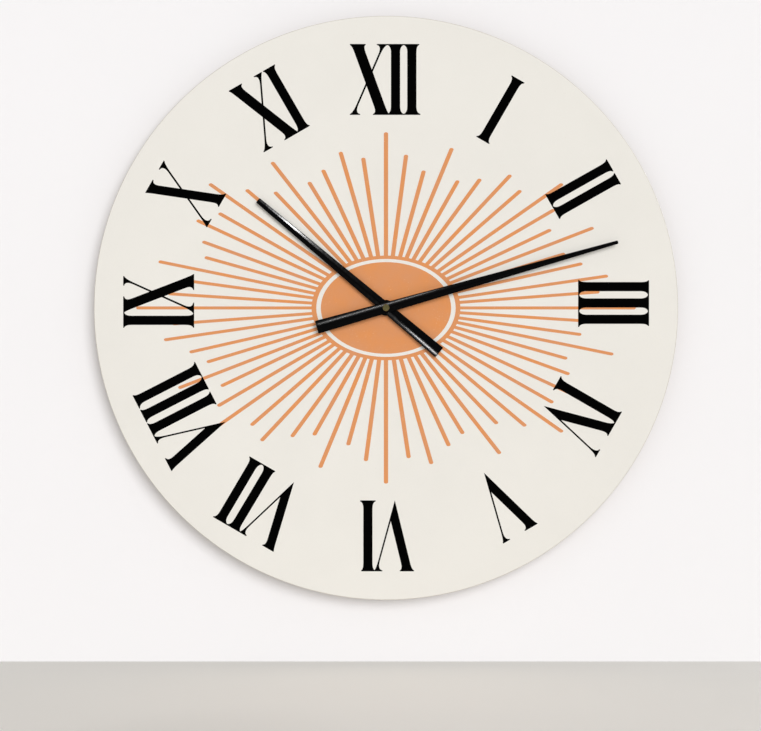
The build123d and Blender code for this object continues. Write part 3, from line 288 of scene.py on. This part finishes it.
def turned_metal(name, centre, bright, dull, roughness=0.26, stains=0.35):
    """Metal turned on a lathe, with fine rings about its axis and some tarnish."""
    finish = Finish(name, Metallic=1.0, Roughness=roughness)
    rings = finish.math("SINE", finish.math("MULTIPLY", finish.spin(centre), 2 * math.pi / (0.16 * MM)))
    lines = finish.math("SINE", finish.math("MULTIPLY", finish.axis("Y"), 2 * math.pi / (0.14 * MM)))
    marks = finish.math("ADD", rings, lines)
    tarnish = finish.ramp(finish.noise(1.8 * MM, 5.0, 0.65), (0.4, 0.0), (0.75, stains))
    finish.set(Base_Color=finish.mix(tarnish, bright, dull))
    wear = finish.noise(0.9 * MM, 4.0)
    finish.set(Roughness=finish.ramp(wear, (0.3, roughness - 0.06), (0.75, roughness + 0.16)))
    return finish.relief(marks, 0.004 * MM, 0.35)


def zinc_plate(name, tone, grain=6.0, roughness=0.34):
    """Plated sheet steel: fine rolling lines, cloudy plating and a few rub marks."""
    finish = Finish(name, Metallic=1.0)
    rolled = finish.noise(0.5 * MM, 4.0, 0.6, finish.stretched((grain, 1, 1)))
    clouds = finish.noise(4 * MM, 3.0)
    light = tuple(min(1.0, part * 1.18) for part in tone[:3]) + (1.0,)
    finish.set(Base_Color=finish.mix(finish.ramp(clouds, (0.35, 0.0), (0.7, 1.0)), tone, light))
    strokes = finish.noise(2.2 * MM, 5.0, 0.7, finish.stretched((1, 1, 0.25), (0, 0.5, 0)))
    rubbed = finish.math("MULTIPLY", finish.ramp(strokes, (0.5, 0), (0.7, 1)), clouds)
    finish.set(Roughness=finish.ramp(rubbed, (0.1, roughness), (0.7, roughness + 0.2)))
    return finish.relief(rolled, 0.01 * MM, 0.4)


def enamelled_wire():
    finish = Finish("copper_wire", Metallic=0.85, Coat_Weight=0.5, Coat_Roughness=0.1)
    tone = finish.ramp(finish.noise(0.8 * MM, 3.0), (0.3, srgb(150, 74, 38)), (0.7, srgb(196, 108, 60)))
    finish.set(Base_Color=tone, Roughness=finish.ramp(finish.noise(0.5 * MM), (0.3, 0.22), (0.7, 0.36)))
    return finish.relief(finish.noise(0.4 * MM), 0.01 * MM, 0.3)


def ferrite():
    finish = Finish("ferrite", Metallic=0.3)
    grains = finish.cells(0.18 * MM)
    finish.set(Base_Color=finish.ramp(grains, (0.1, srgb(66, 66, 70)), (0.7, srgb(98, 98, 102))))
    finish.set(Roughness=finish.ramp(finish.noise(0.6 * MM), (0.3, 0.5), (0.7, 0.7)))
    return finish.relief(grains, 0.02 * MM, 0.5)


# ------------------------------------------------------------------ materials: plastic, rubber and the rest
def moulded(name, tone, roughness=0.5, texture=0.22 * MM, depth=0.014 * MM, **constants):
    """Injection-moulded plastic: a fine etched texture, flow clouds and light scuffs."""
    finish = Finish(name, Specular_IOR_Level=0.4, **constants)
    flow = finish.noise(12 * MM, 3.0, vector=finish.stretched((1, 1, 0.4)))
    dark = tuple(part * 0.82 for part in tone[:3]) + (1.0,)
    body = finish.mix(finish.ramp(flow, (0.3, 0.0), (0.7, 1.0)), dark, tone)
    scuffs = finish.noise(1.5 * MM, 6.0, 0.75, finish.stretched((0.25, 1, 1), (0, 0.7, 0)))
    pale = tuple(part + (1 - part) * 0.16 for part in tone[:3]) + (1.0,)
    finish.set(Base_Color=finish.mix(finish.ramp(scuffs, (0.64, 0.0), (0.8, 0.5)), body, pale))
    finish.set(Roughness=finish.ramp(scuffs, (0.35, roughness), (0.75, roughness + 0.14)))
    return finish.relief(finish.cells(texture, feature="SMOOTH_F1"), depth, 0.5)


def circuit_laminate():
    """Green solder mask over copper tracks."""
    finish = Finish("circuit_laminate", Roughness=0.35, Coat_Weight=0.3)
    tracks = finish.cells(2.2 * MM, feature="DISTANCE_TO_EDGE")
    green = finish.ramp(tracks, (0.1, srgb(44, 128, 74)), (0.14, srgb(22, 88, 48)))
    uneven = finish.ramp(finish.noise(3 * MM), (0.4, 0), (0.7, 0.3))
    finish.set(Base_Color=finish.mix(uneven, green, srgb(30, 104, 58)))
    finish.set(Roughness=finish.ramp(finish.noise(1.2 * MM), (0.3, 0.3), (0.7, 0.42)))
    return finish.relief(finish.ramp(tracks, (0.1, 1.0), (0.14, 0.0)), 0.03 * MM, 0.6)


def battery_sleeve():
    """Plain shrink sleeve: slate with a pale band at the positive end."""
    low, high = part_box("battery_jacket")
    band_start = high.x - 0.26 * (high.x - low.x)
    finish = Finish("battery_sleeve", Coat_Weight=0.4, Coat_Roughness=0.12)
    on_band = finish.math("GREATER_THAN", finish.axis("X"), band_start)
    slate = finish.ramp(finish.noise(7 * MM, 3.0), (0.3, srgb(52, 66, 78)), (0.7, srgb(62, 78, 92)))
    silver = finish.ramp(finish.noise(5 * MM, 3.0), (0.3, srgb(196, 198, 200)), (0.7, srgb(216, 217, 218)))
    finish.set(Base_Color=finish.mix(on_band, slate, silver))
    finish.set(Roughness=finish.ramp(finish.noise(3 * MM, 5.0), (0.3, 0.24), (0.7, 0.38)))
    return finish.relief(finish.noise(2.4 * MM, 2.0), 0.02 * MM, 0.3)


def gasket_rubber():
    finish = Finish("gasket_rubber", Specular_IOR_Level=0.3)
    bloom = finish.noise(1.6 * MM, 5.0)
    finish.set(Base_Color=finish.ramp(bloom, (0.4, srgb(26, 26, 27)), (0.8, srgb(52, 51, 50))))
    finish.set(Roughness=finish.ramp(finish.noise(1.0 * MM), (0.3, 0.7), (0.7, 0.85)))
    return finish.relief(finish.noise(0.3 * MM, 4.0), 0.02 * MM, 0.5)


knob_low, knob_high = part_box("setting_knob")
knob_centre = ((knob_low.x + knob_high.x) / 2, (knob_low.z + knob_high.z) / 2)
AXIS = (0.0, 0.0)

FINISHES = {
    "cream_print": cream_print(),
    "orange_ink": orange_ink(),
    "black_ink": black_ink(),
    "fibreboard": fibreboard(),
    "hand_black": gloss_black(),
    "bush_black": turned_metal("bush_black", AXIS, srgb(40, 39, 38), srgb(22, 22, 22), 0.35),
    "brass": turned_metal("brass", AXIS, srgb(214, 182, 110), srgb(150, 118, 66)),
    "aged_brass": turned_metal("aged_brass", AXIS, srgb(146, 139, 94), srgb(104, 96, 62), 0.42, 0.6),
    "steel": zinc_plate("steel", srgb(176, 177, 180)),
    "contact_steel": zinc_plate("contact_steel", srgb(204, 203, 198), roughness=0.24),
    "hanger_steel": zinc_plate("hanger_steel", srgb(168, 170, 174)),
    "motor_iron": zinc_plate("motor_iron", srgb(146, 147, 150), roughness=0.42),
    "dark_washer": moulded("dark_washer", srgb(26, 26, 27), 0.42, 0.5 * MM),
    "magnet": ferrite(),
    "copper_wire": enamelled_wire(),
    "circuit_laminate": circuit_laminate(),
    "epoxy": moulded("epoxy", srgb(24, 24, 25), 0.3, 0.6 * MM),
    "crystal_can": zinc_plate("crystal_can", srgb(206, 206, 204), roughness=0.16),
    "battery_can": zinc_plate("battery_can", srgb(190, 190, 192), roughness=0.22),
    "battery_sleeve": battery_sleeve(),
    "case_plastic": moulded("case_plastic", srgb(42, 42, 44), 0.46),
    "knob_plastic": moulded("knob_plastic", srgb(88, 88, 91), 0.42),
    "inner_plastic": moulded("inner_plastic", srgb(222, 218, 206), 0.42),
    "bobbin_plastic": moulded("bobbin_plastic", srgb(70, 74, 82), 0.4),
    "gear_plastic": moulded("gear_plastic", srgb(236, 233, 222), 0.36, Subsurface_Weight=0.15),
    "gasket_rubber": gasket_rubber(),
}
SLOT_OF = {part["node"]: part["material_slot"] for part in frame["record"]["subparts"]}


def dress(piece, slot):
    """Gives a piece the finish of a material slot, and nothing else."""
    piece.data.materials.clear()
    piece.data.materials.append(FINISHES[slot].material)


for node_name, node in nodes.items():
    dress(node, SLOT_OF[node_name])


# ------------------------------------------------------------------ mesh helpers
EASED_CREASE = 40.0  # degrees, above which an edge of an eased or turned piece stays sharp


def body_of(node_name):
    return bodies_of(nodes[node_name])[0]


def new_piece(name, mesh, node_name):
    """A piece that stands for a CAD node: same body, same slot."""
    piece = bpy.data.objects.new(name, mesh)
    bpy.context.scene.collection.objects.link(piece)
    slot = SLOT_OF[node_name]
    dress(piece, slot)
    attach(piece, body_of(node_name))
    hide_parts(node_name)
    return piece


def rings_to_mesh(name, rings, closed=False):
    """A skin through rings of points, all of one length, capped at its ends unless it closes on itself."""
    build = bmesh.new()
    loops = [[build.verts.new(point) for point in ring] for ring in rings]
    pairs = list(zip(loops, loops[1:])) + ([(loops[-1], loops[0])] if closed else [])
    for first, second in pairs:
        for here in range(len(first)):
            there = (here + 1) % len(first)
            build.faces.new((first[here], first[there], second[there], second[here]))
    if not closed:
        build.faces.new(loops[0])
        build.faces.new(loops[-1])
    bmesh.ops.recalc_face_normals(build, faces=build.faces)
    mesh = bpy.data.meshes.new(name)
    build.to_mesh(mesh)
    build.free()
    return mesh


def shade_by_angle(mesh, degrees):
    """Smooth shading, with an edge kept sharp where its faces meet at more than the angle."""
    build = bmesh.new()
    build.from_mesh(mesh)
    for face in build.faces:
        face.smooth = True
    for edge in build.edges:
        edge.smooth = len(edge.link_faces) == 2 and edge.calc_face_angle(0.0) < math.radians(degrees)
    build.to_mesh(mesh)
    build.free()
    return mesh


def applied(name, source, *modifiers):
    """The source mesh after a stack of modifiers, each given as its type and its settings."""
    helper = bpy.data.objects.new(name + "_helper", source)
    bpy.context.scene.collection.objects.link(helper)
    for kind, settings in modifiers:
        modifier = helper.modifiers.new(kind.lower(), kind)
        for key, value in settings.items():
            setattr(modifier, key, value)
    graph = bpy.context.evaluated_depsgraph_get()
    mesh = bpy.data.meshes.new_from_object(helper.evaluated_get(graph))
    bpy.data.objects.remove(helper)
    mesh.name = name
    return mesh


def evened(mesh):
    """The mesh with normals that lean on its large faces, which look flat beside eased edges then."""
    settings = {"keep_sharp": True, "mode": "FACE_AREA", "weight": 100}
    return applied(mesh.name, mesh, ("WEIGHTED_NORMAL", settings))


def lathe(name, outline, sides):
    """A closed ring about the clock's axis, from an outline of (radius, y) corners."""
    turns = [2 * math.pi * side / sides for side in range(sides)]
    rings = [
        [Vector((radius * math.cos(turn), y, radius * math.sin(turn))) for turn in turns]
        for radius, y in outline
    ]
    return rings_to_mesh(name, rings, closed=True)


def welded(node_name):
    """A copy of a CAD mesh with its split corners joined and its flat triangles merged."""
    build = bmesh.new()
    build.from_mesh(nodes[node_name].data)
    bmesh.ops.remove_doubles(build, verts=build.verts, dist=0.002 * MM)
    bmesh.ops.dissolve_limit(build, angle_limit=math.radians(0.5), verts=build.verts, edges=build.edges)
    mesh = bpy.data.meshes.new(node_name + "_welded")
    build.to_mesh(mesh)
    build.free()
    return mesh


def joined(name, base, cuts):
    """The base mesh after exact booleans with others, each given as its operation and its mesh."""
    helpers, steps = [], []
    for operation, mesh in cuts:
        helper = bpy.data.objects.new(name + "_tool", mesh)
        bpy.context.scene.collection.objects.link(helper)
        helpers.append(helper)
        steps.append(("BOOLEAN", {"operation": operation, "object": helper, "solver": "EXACT"}))
    mesh = applied(name, base, *steps)
    for helper in helpers:
        bpy.data.objects.remove(helper)
    return mesh


def soften(node_name, width, cuts=()):
    """Replaces a CAD node by a copy with its sharp edges eased, as a mould or a deburring tool does."""
    name = node_name + "_eased"
    bevel = {
        "width": width,
        "segments": 2,
        "limit_method": "ANGLE",
        "angle_limit": math.radians(35),
        "use_clamp_overlap": True,
        "miter_outer": "MITER_ARC",
    }
    mesh = applied(name, welded(node_name), ("BEVEL", bevel))
    if cuts:
        mesh = joined(name, mesh, cuts)
    return new_piece(name, evened(shade_by_angle(mesh, EASED_CREASE)), node_name)


# ------------------------------------------------------------------ hands
HAND_SHEET = 0.6 * MM
HAND_SLOPE, HAND_CROWN = 11.0, 3.0  # degrees: mean slope of a facet, and how much it turns each way
RIDGE_HALF = 0.9 * MM  # of the rounded ridge
EDGE_ROUND = 0.18 * MM
CORNER_ROUND = 1.1 * MM  # of a blade's corners, seen from the front
HUB_THICKNESS = 0.8 * MM
BORE_SIDES, HUB_SIDES = 64, 96
BLADE_SPANS, RIDGE_SPANS, FACET_SPANS = 24, 4, 12  # how finely a blade is divided along and across
END_DEPTH = 0.05 * MM  # corners as near as this to an end belong to it
HAND_CREASE = 25.0
BORE_REACH = 1 * MM  # how far the boring tool stands out of a hand


def read_blade(node_name):
    """A hand's heading, its ends, widths and back, read from its CAD mesh."""
    corners = [vertex.co for vertex in nodes[node_name].data.vertices]
    points = [Vector((corner.x, 0, corner.z)) for corner in corners]
    reach = max(point.length for point in points)
    tip_corners = [point for point in points if point.length > reach - END_DEPTH]
    heading = sum(tip_corners, Vector()).normalized()
    across = Vector((-heading.z, 0, heading.x))
    tail = -min(point.dot(heading) for point in points)
    tail_corners = [point for point in points if -point.dot(heading) > tail - END_DEPTH]
    return {
        "heading": heading,
        "across": across,
        "length": max(point.dot(heading) for point in points),
        "tail": tail,
        "tip_width": 2 * max(point.dot(across) for point in tip_corners),
        "tail_width": 2 * max(point.dot(across) for point in tail_corners),
        "back": max(corner.y for corner in corners),
    }


def hand_profile(half):
    """Front line of half a hand's section, from its ridge to its edge, as (across, out)."""
    gentle, steep = HAND_SLOPE - HAND_CROWN, HAND_SLOPE + HAND_CROWN
    flat_end = half - EDGE_ROUND
    facet = flat_end - RIDGE_HALF
    stops = [RIDGE_HALF * step / RIDGE_SPANS for step in range(1, RIDGE_SPANS + 1)]
    stops += [RIDGE_HALF + facet * step / FACET_SPANS for step in range(1, FACET_SPANS + 1)]
    line = [(0.0, 0.0)]
    for reach in stops:
        middle = (line[-1][0] + reach) / 2
        if middle < RIDGE_HALF:
            slope = gentle * middle / RIDGE_HALF
        else:
            slope = gentle + (steep - gentle) * (middle - RIDGE_HALF) / facet
        line.append((reach, line[-1][1] - (reach - line[-1][0]) * math.tan(math.radians(slope))))
    lift = HAND_SHEET - line[-1][1]
    return [(reach, out + lift) for reach, out in line]


def hand_section(width):
    """Closed outline of a hand's section: a crowned sheet with eased edges, as (across, out)."""
    half = width / 2
    right = hand_profile(half)
    eased = 0.3 * EDGE_ROUND
    lip = [(half - eased, HAND_SHEET - eased), (half, HAND_SHEET - EDGE_ROUND), (half, 0.0)]
    under = [(reach, out - HAND_SHEET) for reach, out in right[::4]]
    half_loop = right + lip + under[::-1]
    mirrored = [(-reach, out) for reach, out in reversed(half_loop[1:-1])]
    return half_loop + mirrored


def corner_rings(width, steps=6):
    """Distances from a blade's end, and the widths there, around its rounded corners."""
    rings = []
    for step in range(steps + 1):
        turn = math.pi / 2 * step / steps
        rings.append((CORNER_ROUND * (1 - math.sin(turn)), width - 2 * CORNER_ROUND * (1 - math.cos(turn))))
    return rings[::-1]


def blade_mesh(name, blade):
    """The tapered blade as one closed skin."""

    def width_at(reach):
        share = (reach + blade["tail"]) / (blade["length"] + blade["tail"])
        return blade["tail_width"] + (blade["tip_width"] - blade["tail_width"]) * share

    stations = [(-blade["tail"] + inset, width) for inset, width in corner_rings(width_at(-blade["tail"]))]
    span = blade["length"] + blade["tail"] - 2 * CORNER_ROUND
    first = -blade["tail"] + CORNER_ROUND
    reaches = [first + span * step / BLADE_SPANS for step in range(1, BLADE_SPANS)]
    stations += [(reach, width_at(reach)) for reach in reaches]
    tip = [(blade["length"] - inset, width) for inset, width in corner_rings(width_at(blade["length"]))]
    stations += tip[::-1]
    rings = []
    for reach, width in stations:
        full = width_at(reach)
        base = blade["heading"] * reach + Vector((0, blade["back"], 0))
        section = [(side * width / full, out) for side, out in hand_section(full)]
        rings.append([base + blade["across"] * side + OUT * out for side, out in section])
    return rings_to_mesh(name, rings)


def round_bar(name, radius, back, front, sides):
    """A closed cylinder about the clock's axis, between two heights given as y."""
    rings = []
    for level in (back, front):
        turns = [2 * math.pi * side / sides for side in range(sides)]
        rings.append([Vector((radius * math.cos(turn), level, radius * math.sin(turn))) for turn in turns])
    return rings_to_mesh(name, rings)


def make_hand(node_name, bush_name, hub_radius=0.0):
    """A hand's crowned blade, with its hub and the hole for its bush."""
    blade = read_blade(node_name)
    low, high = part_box(bush_name)
    bore_radius = (high.x - low.x) / 2
    bore = round_bar("bore", bore_radius, blade["back"] + BORE_REACH, low.y - BORE_REACH, BORE_SIDES)
    steps = [("DIFFERENCE", bore)]
    if hub_radius:
        hub = round_bar("hub", hub_radius, blade["back"], blade["back"] - HUB_THICKNESS, HUB_SIDES)
        steps.insert(0, ("UNION", hub))
    mesh = joined(node_name + "_crowned", blade_mesh("blade", blade), steps)
    blade["piece"] = new_piece(mesh.name, shade_by_angle(mesh, HAND_CREASE), node_name)
    return blade


HUB_RADIUS = 10.0 * MM
minute_blade = make_hand("minute_hand", "minute_hand_bush")
hour_blade = make_hand("hour_hand", "hour_hand_bush", HUB_RADIUS)

# ------------------------------------------------------------------ dial board and face
BOARD_HOLE = 5.25 * MM
EDGE_STEPS = 6
DIAL_SIDES = 720


def make_dial():
    """The board with its rounded edges and the face sheet, as finer turned meshes."""
    rim, edge = board_high.x, board_high.x - dial_high.x
    outline = [(BOARD_HOLE, board_low.y), (BOARD_HOLE, board_high.y)]
    for level, inward, start in ((board_high.y, -1, 0), (board_low.y, 1, 1)):
        for step in range(EDGE_STEPS + 1):
            turn = math.pi / 2 * abs(start - step / EDGE_STEPS)
            radius = rim - edge * (1 - math.sin(turn))
            outline.append((radius, level + inward * edge * (1 - math.cos(turn))))
    board = lathe("board_turned", outline, DIAL_SIDES)
    new_piece("board_turned", evened(shade_by_angle(board, EASED_CREASE)), "dial_board")
    sheet = [(radius, y) for radius, y in (
        (BOARD_HOLE, dial_low.y),
        (BOARD_HOLE, dial_high.y),
        (dial_high.x, dial_high.y),
        (dial_high.x, dial_low.y),
    )]
    sheet_mesh = lathe("face_turned", sheet, DIAL_SIDES)
    new_piece("face_turned", evened(shade_by_angle(sheet_mesh, EASED_CREASE)), "face_laminate")


make_dial()

# ------------------------------------------------------------------ movement case, hanger and coil
MARK_DEPTH, MARK_BAR = 0.25 * MM, 0.9 * MM
MARK_SIZE = 4.2 * MM
MARK_INSET, MARK_LIFT = 5 * MM, 4.2 * MM  # from the cell's end, and above the cell
ARROW_RADIUS, ARROW_START, ARROW_END, ARROW_STEPS = 8.2 * MM, 105, 175, 14
ARROW_HEAD, ARROW_FLARE = 16, 2.6  # degrees long, and how many times as wide as the shaft


def stamp(name, corners, surface):
    """A prism over an outline of (x, z) corners, for sinking a mark into a face that looks at the wall."""
    levels = (surface + MARK_DEPTH, surface - MARK_DEPTH)
    return rings_to_mesh(name, [[Vector((x, level, z)) for x, z in corners] for level in levels])


def bar(centre, wide, high):
    corners = ((-1, -1), (1, -1), (1, 1), (-1, 1))
    return [(centre[0] + x * wide / 2, centre[1] + z * high / 2) for x, z in corners]


def cross(centre):
    """A plus sign, as twelve corners."""
    reach, thin = MARK_SIZE / 2, MARK_BAR / 2
    quarter = [(reach, thin), (thin, thin), (thin, reach)]
    corners = []
    for turn in range(4):
        cosine, sine = ((1, 0), (0, 1), (-1, 0), (0, -1))[turn]
        corners += [(x * cosine - z * sine, x * sine + z * cosine) for x, z in quarter]
    return [(centre[0] + x, centre[1] + z) for x, z in corners]


def turning_arrow(centre):
    """An arrow bent round the setting knob."""

    def place(radius, degrees):
        turn = math.radians(degrees)
        return (centre[0] + radius * math.cos(turn), centre[1] + radius * math.sin(turn))

    half = MARK_BAR / 2
    sweep = ARROW_END - ARROW_START
    turns = [ARROW_START + sweep * step / ARROW_STEPS for step in range(ARROW_STEPS + 1)]
    flare = ARROW_FLARE * half
    head = [(flare, ARROW_END), (0, ARROW_END + ARROW_HEAD), (-flare, ARROW_END)]
    outer = [place(ARROW_RADIUS + half, turn) for turn in turns]
    inner = [place(ARROW_RADIUS - half, turn) for turn in reversed(turns)]
    return outer + [place(ARROW_RADIUS + offset, turn) for offset, turn in head] + inner


def rounded_loop(centre, half_x, half_y, corner, z, steps=6):
    """A level rounded rectangle, as a ring of points."""
    ring = []
    for number, (side_x, side_y) in enumerate(((1, 1), (-1, 1), (-1, -1), (1, -1))):
        for step in range(steps + 1):
            turn = math.pi / 2 * (number + step / steps)
            x = side_x * (half_x - corner) + corner * math.cos(turn)
            y = side_y * (half_y - corner) + corner * math.sin(turn)
            ring.append(Vector((centre[0] + x, centre[1] + y, z)))
    return ring


WIRE_PITCH = 0.3 * MM
CORE_HOLE = (2.3 * MM, 1.4 * MM)  # half sizes of the bobbin's tube
COIL_CORNER, CORE_CORNER = 1.2 * MM, 0.05 * MM
COIL_CREASE = 60.0


def wind_coil():
    """The winding as turns of wire round the bobbin's tube."""
    low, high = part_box("coil_winding")
    centre = ((low.x + high.x) / 2, (low.y + high.y) / 2)
    half_x, half_y = (high.x - low.x) / 2, (high.y - low.y) / 2
    turns = round((high.z - low.z) / WIRE_PITCH)
    pitch = (high.z - low.z) / turns
    rings = []
    for step in range(4 * turns + 1):
        sunk = WIRE_PITCH / 2 * (1 - abs(math.sin(math.pi * step / 4)))
        level = low.z + pitch * step / 4
        rings.append(rounded_loop(centre, half_x - sunk, half_y - sunk, COIL_CORNER - sunk, level))
    for level in (high.z, low.z):
        rings.append(rounded_loop(centre, *CORE_HOLE, CORE_CORNER, level))
    mesh = rings_to_mesh("coil_turns", rings, closed=True)
    new_piece("coil_turns", shade_by_angle(mesh, COIL_CREASE), "coil_winding")


cover_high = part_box("rear_cover")[1]
cell_low, cell_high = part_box("battery_jacket")
mark_z = cell_high.z + MARK_LIFT
plus = cross((cell_high.x - MARK_INSET, mark_z))
minus = bar((cell_low.x + MARK_INSET, mark_z), MARK_SIZE, MARK_BAR)
marks = [
    ("DIFFERENCE", stamp("plus", plus, cover_high.y)),
    ("DIFFERENCE", stamp("minus", minus, cover_high.y)),
    ("DIFFERENCE", stamp("arrow", turning_arrow(knob_centre), cover_high.y)),
]
soften("rear_cover", 0.25 * MM, marks)
soften("front_case", 0.25 * MM)
soften("setting_knob", 0.15 * MM)
soften("wall_hanger", 0.14 * MM)
soften("dial_washer", 0.12 * MM)
soften("rubber_gasket", 0.15 * MM)
soften("fixing_nut", 0.2 * MM)
soften("circuit_board", 0.08 * MM)
soften("coil_bobbin", 0.12 * MM)
wind_coil()

# ------------------------------------------------------------------ studio
WALL_TONE = srgb(228, 226, 227)
WALL_GLOW = 0.175  # the sheet is lit a little from behind
FLOOR_TONE = srgb(250, 246, 240)
FLOOR_Z = -0.45
STAGE_SPAN = 6.0
WHITE = (1.0, 1.0, 1.0, 1.0)


def painted_stage(name, tone, glow=0.0, one_sided=False):
    finish = Finish(name, Specular_IOR_Level=0.2, Emission_Color=WHITE, Emission_Strength=glow)
    duller = tuple(part * 0.985 for part in tone[:3]) + (1.0,)
    patches = finish.ramp(finish.noise(0.4, 2.0), (0.3, 0), (0.7, 1))
    finish.set(Base_Color=finish.mix(patches, tone, duller))
    finish.set(Roughness=finish.ramp(finish.noise(0.02), (0.3, 0.75), (0.7, 0.9)))
    finish.relief(finish.noise(4 * MM, 3.0), 0.05 * MM, 0.3)
    if one_sided:
        see_through = finish.node("BsdfTransparent")
        choose = finish.node("MixShader")
        finish.feed(choose.inputs[0], finish.node("NewGeometry").outputs["Backfacing"])
        finish.feed(choose.inputs[1], finish.shader.outputs[0])
        finish.feed(choose.inputs[2], see_through.outputs[0])
        finish.feed(finish.tree.nodes["Material Output"].inputs["Surface"], choose.outputs[0])
    return finish.material


def stage_sheet(name, corners, material):
    mesh = bpy.data.meshes.new(name)
    mesh.from_pydata(corners, [], [(0, 1, 2, 3)])
    mesh.materials.append(material)
    sheet = bpy.data.objects.new(name, mesh)
    bpy.context.scene.collection.objects.link(sheet)
    return sheet


half = STAGE_SPAN / 2
WALL_Y = 0.0005
wall = stage_sheet(
    "backdrop",
    [(-half, WALL_Y, FLOOR_Z), (half, WALL_Y, FLOOR_Z), (half, WALL_Y, half), (-half, WALL_Y, half)],
    painted_stage("wall_paint", WALL_TONE, WALL_GLOW, one_sided=True),
)
wall.visible_shadow = False
wall.visible_diffuse = False  # so that the wall lets light reach the back of the clock
stage_sheet(
    "floor",
    [(-half, -half, FLOOR_Z), (half, -half, FLOOR_Z), (half, half, FLOOR_Z), (-half, half, FLOOR_Z)],
    painted_stage("floor_paint", FLOOR_TONE),
)

# A sun's tilt is off the clock's axis, its bearing clockwise from up, and its spread its apparent size.
KEY_TILT, KEY_BEARING, KEY_SPREAD = 27.0, 47.0, 36.0
KEY_STRENGTH = 1.8
FILL_TILT, FILL_BEARING, FILL_SPREAD = 38.0, 232.0, 60.0
FILL_STRENGTH = 0.32
AMBIENT, BACKGROUND = 0.4, 0.8  # of the world, as a light and as seen behind the clock
BACK_LIGHT = Vector((0.42, 0.88, 0.14))  # low, so that it skims the floor
BACK_STRENGTH, BACK_SPREAD = 1.6, 14.0


def direction(tilt, bearing):
    """A unit vector tilted off the viewing axis towards a bearing that is clockwise from up."""
    tilt, bearing = math.radians(tilt), math.radians(bearing)
    return Vector((math.sin(tilt) * math.sin(bearing), -math.cos(tilt), math.sin(tilt) * math.cos(bearing)))


def sun(name, towards, strength, spread):
    data = bpy.data.lights.new(name, "SUN")
    data.energy = strength
    data.angle = math.radians(spread)
    lamp = bpy.data.objects.new(name, data)
    lamp.rotation_euler = towards.to_track_quat("Z", "Y").to_euler()
    bpy.context.scene.collection.objects.link(lamp)
    return lamp


GLINT_DISTANCE = 1.2
HAND_CREST = 1.5 * MM  # about how far a hand's front is from its back


def mirror_point(blade, reach, lean):
    """Where a lamp has to be for the facet there, leaning by an angle, to mirror it to the viewer."""
    lean = math.radians(lean)
    spot = blade["heading"] * reach + Vector((0, blade["back"] - HAND_CREST, 0))
    facing = OUT * math.cos(lean) + blade["across"] * math.sin(lean)
    view = (camera.location - spot).normalized()
    return spot + GLINT_DISTANCE * (2 * facing.dot(view) * facing - view)


def glint(name, blade, start, end, width, radiance):
    """A strip lamp that lights one hand, mirrored in it between two places, each a (reach, lean)."""
    first, last = mirror_point(blade, *start), mirror_point(blade, *end)
    middle = (first + last) / 2
    towards = (middle - blade["heading"] * (start[0] + end[0]) / 2).normalized()
    along = (last - first) - towards * towards.dot(last - first)
    data = bpy.data.lights.new(name, "AREA")
    data.shape = "RECTANGLE"
    data.size, data.size_y = along.length, width
    data.energy = radiance * math.pi * data.size * data.size_y
    lamp = bpy.data.objects.new(name, data)
    axes = Matrix((along.normalized(), towards.cross(along.normalized()), towards)).transposed()
    lamp.matrix_world = Matrix.Translation(middle) @ axes.to_4x4()
    lamp.visible_camera = False
    lamp.visible_diffuse = False
    lit = bpy.data.collections.new(name)
    lit.objects.link(blade["piece"])
    lamp.light_linking.receiver_collection = lit
    bpy.context.scene.collection.objects.link(lamp)


key = sun("key", direction(KEY_TILT, KEY_BEARING), KEY_STRENGTH, KEY_SPREAD)
key.visible_glossy = False
fill = sun("fill", direction(FILL_TILT, FILL_BEARING), FILL_STRENGTH, FILL_SPREAD)
fill.visible_glossy = False
back = sun("back", BACK_LIGHT, BACK_STRENGTH, BACK_SPREAD)
back.data.cycles.max_bounces = 0  # so that the back of the board throws no light on the wall
glint("glint_minute", minute_blade, (-88 * MM, 10.0), (64 * MM, 12.3), 16 * MM, 150.0)
glint("glint_hour_tail", hour_blade, (-74 * MM, 10.2), (-62 * MM, 11.2), 90 * MM, 230.0)
glint("glint_hour_tip", hour_blade, (153 * MM, -11.0), (170 * MM, -11.0), 170 * MM, 620.0)

world = bpy.data.worlds.new("studio")
world.use_nodes = True
background = world.node_tree.nodes["Background"]
background.inputs["Color"].default_value = WHITE
seen = world.node_tree.nodes.new("ShaderNodeLightPath").outputs["Is Camera Ray"]
level = world.node_tree.nodes.new("ShaderNodeMapRange")
level.inputs["To Min"].default_value, level.inputs["To Max"].default_value = AMBIENT, BACKGROUND
world.node_tree.links.new(seen, level.inputs["Value"])
world.node_tree.links.new(level.outputs["Result"], background.inputs["Strength"])
world.cycles.max_bounces = 0
bpy.context.scene.world = world
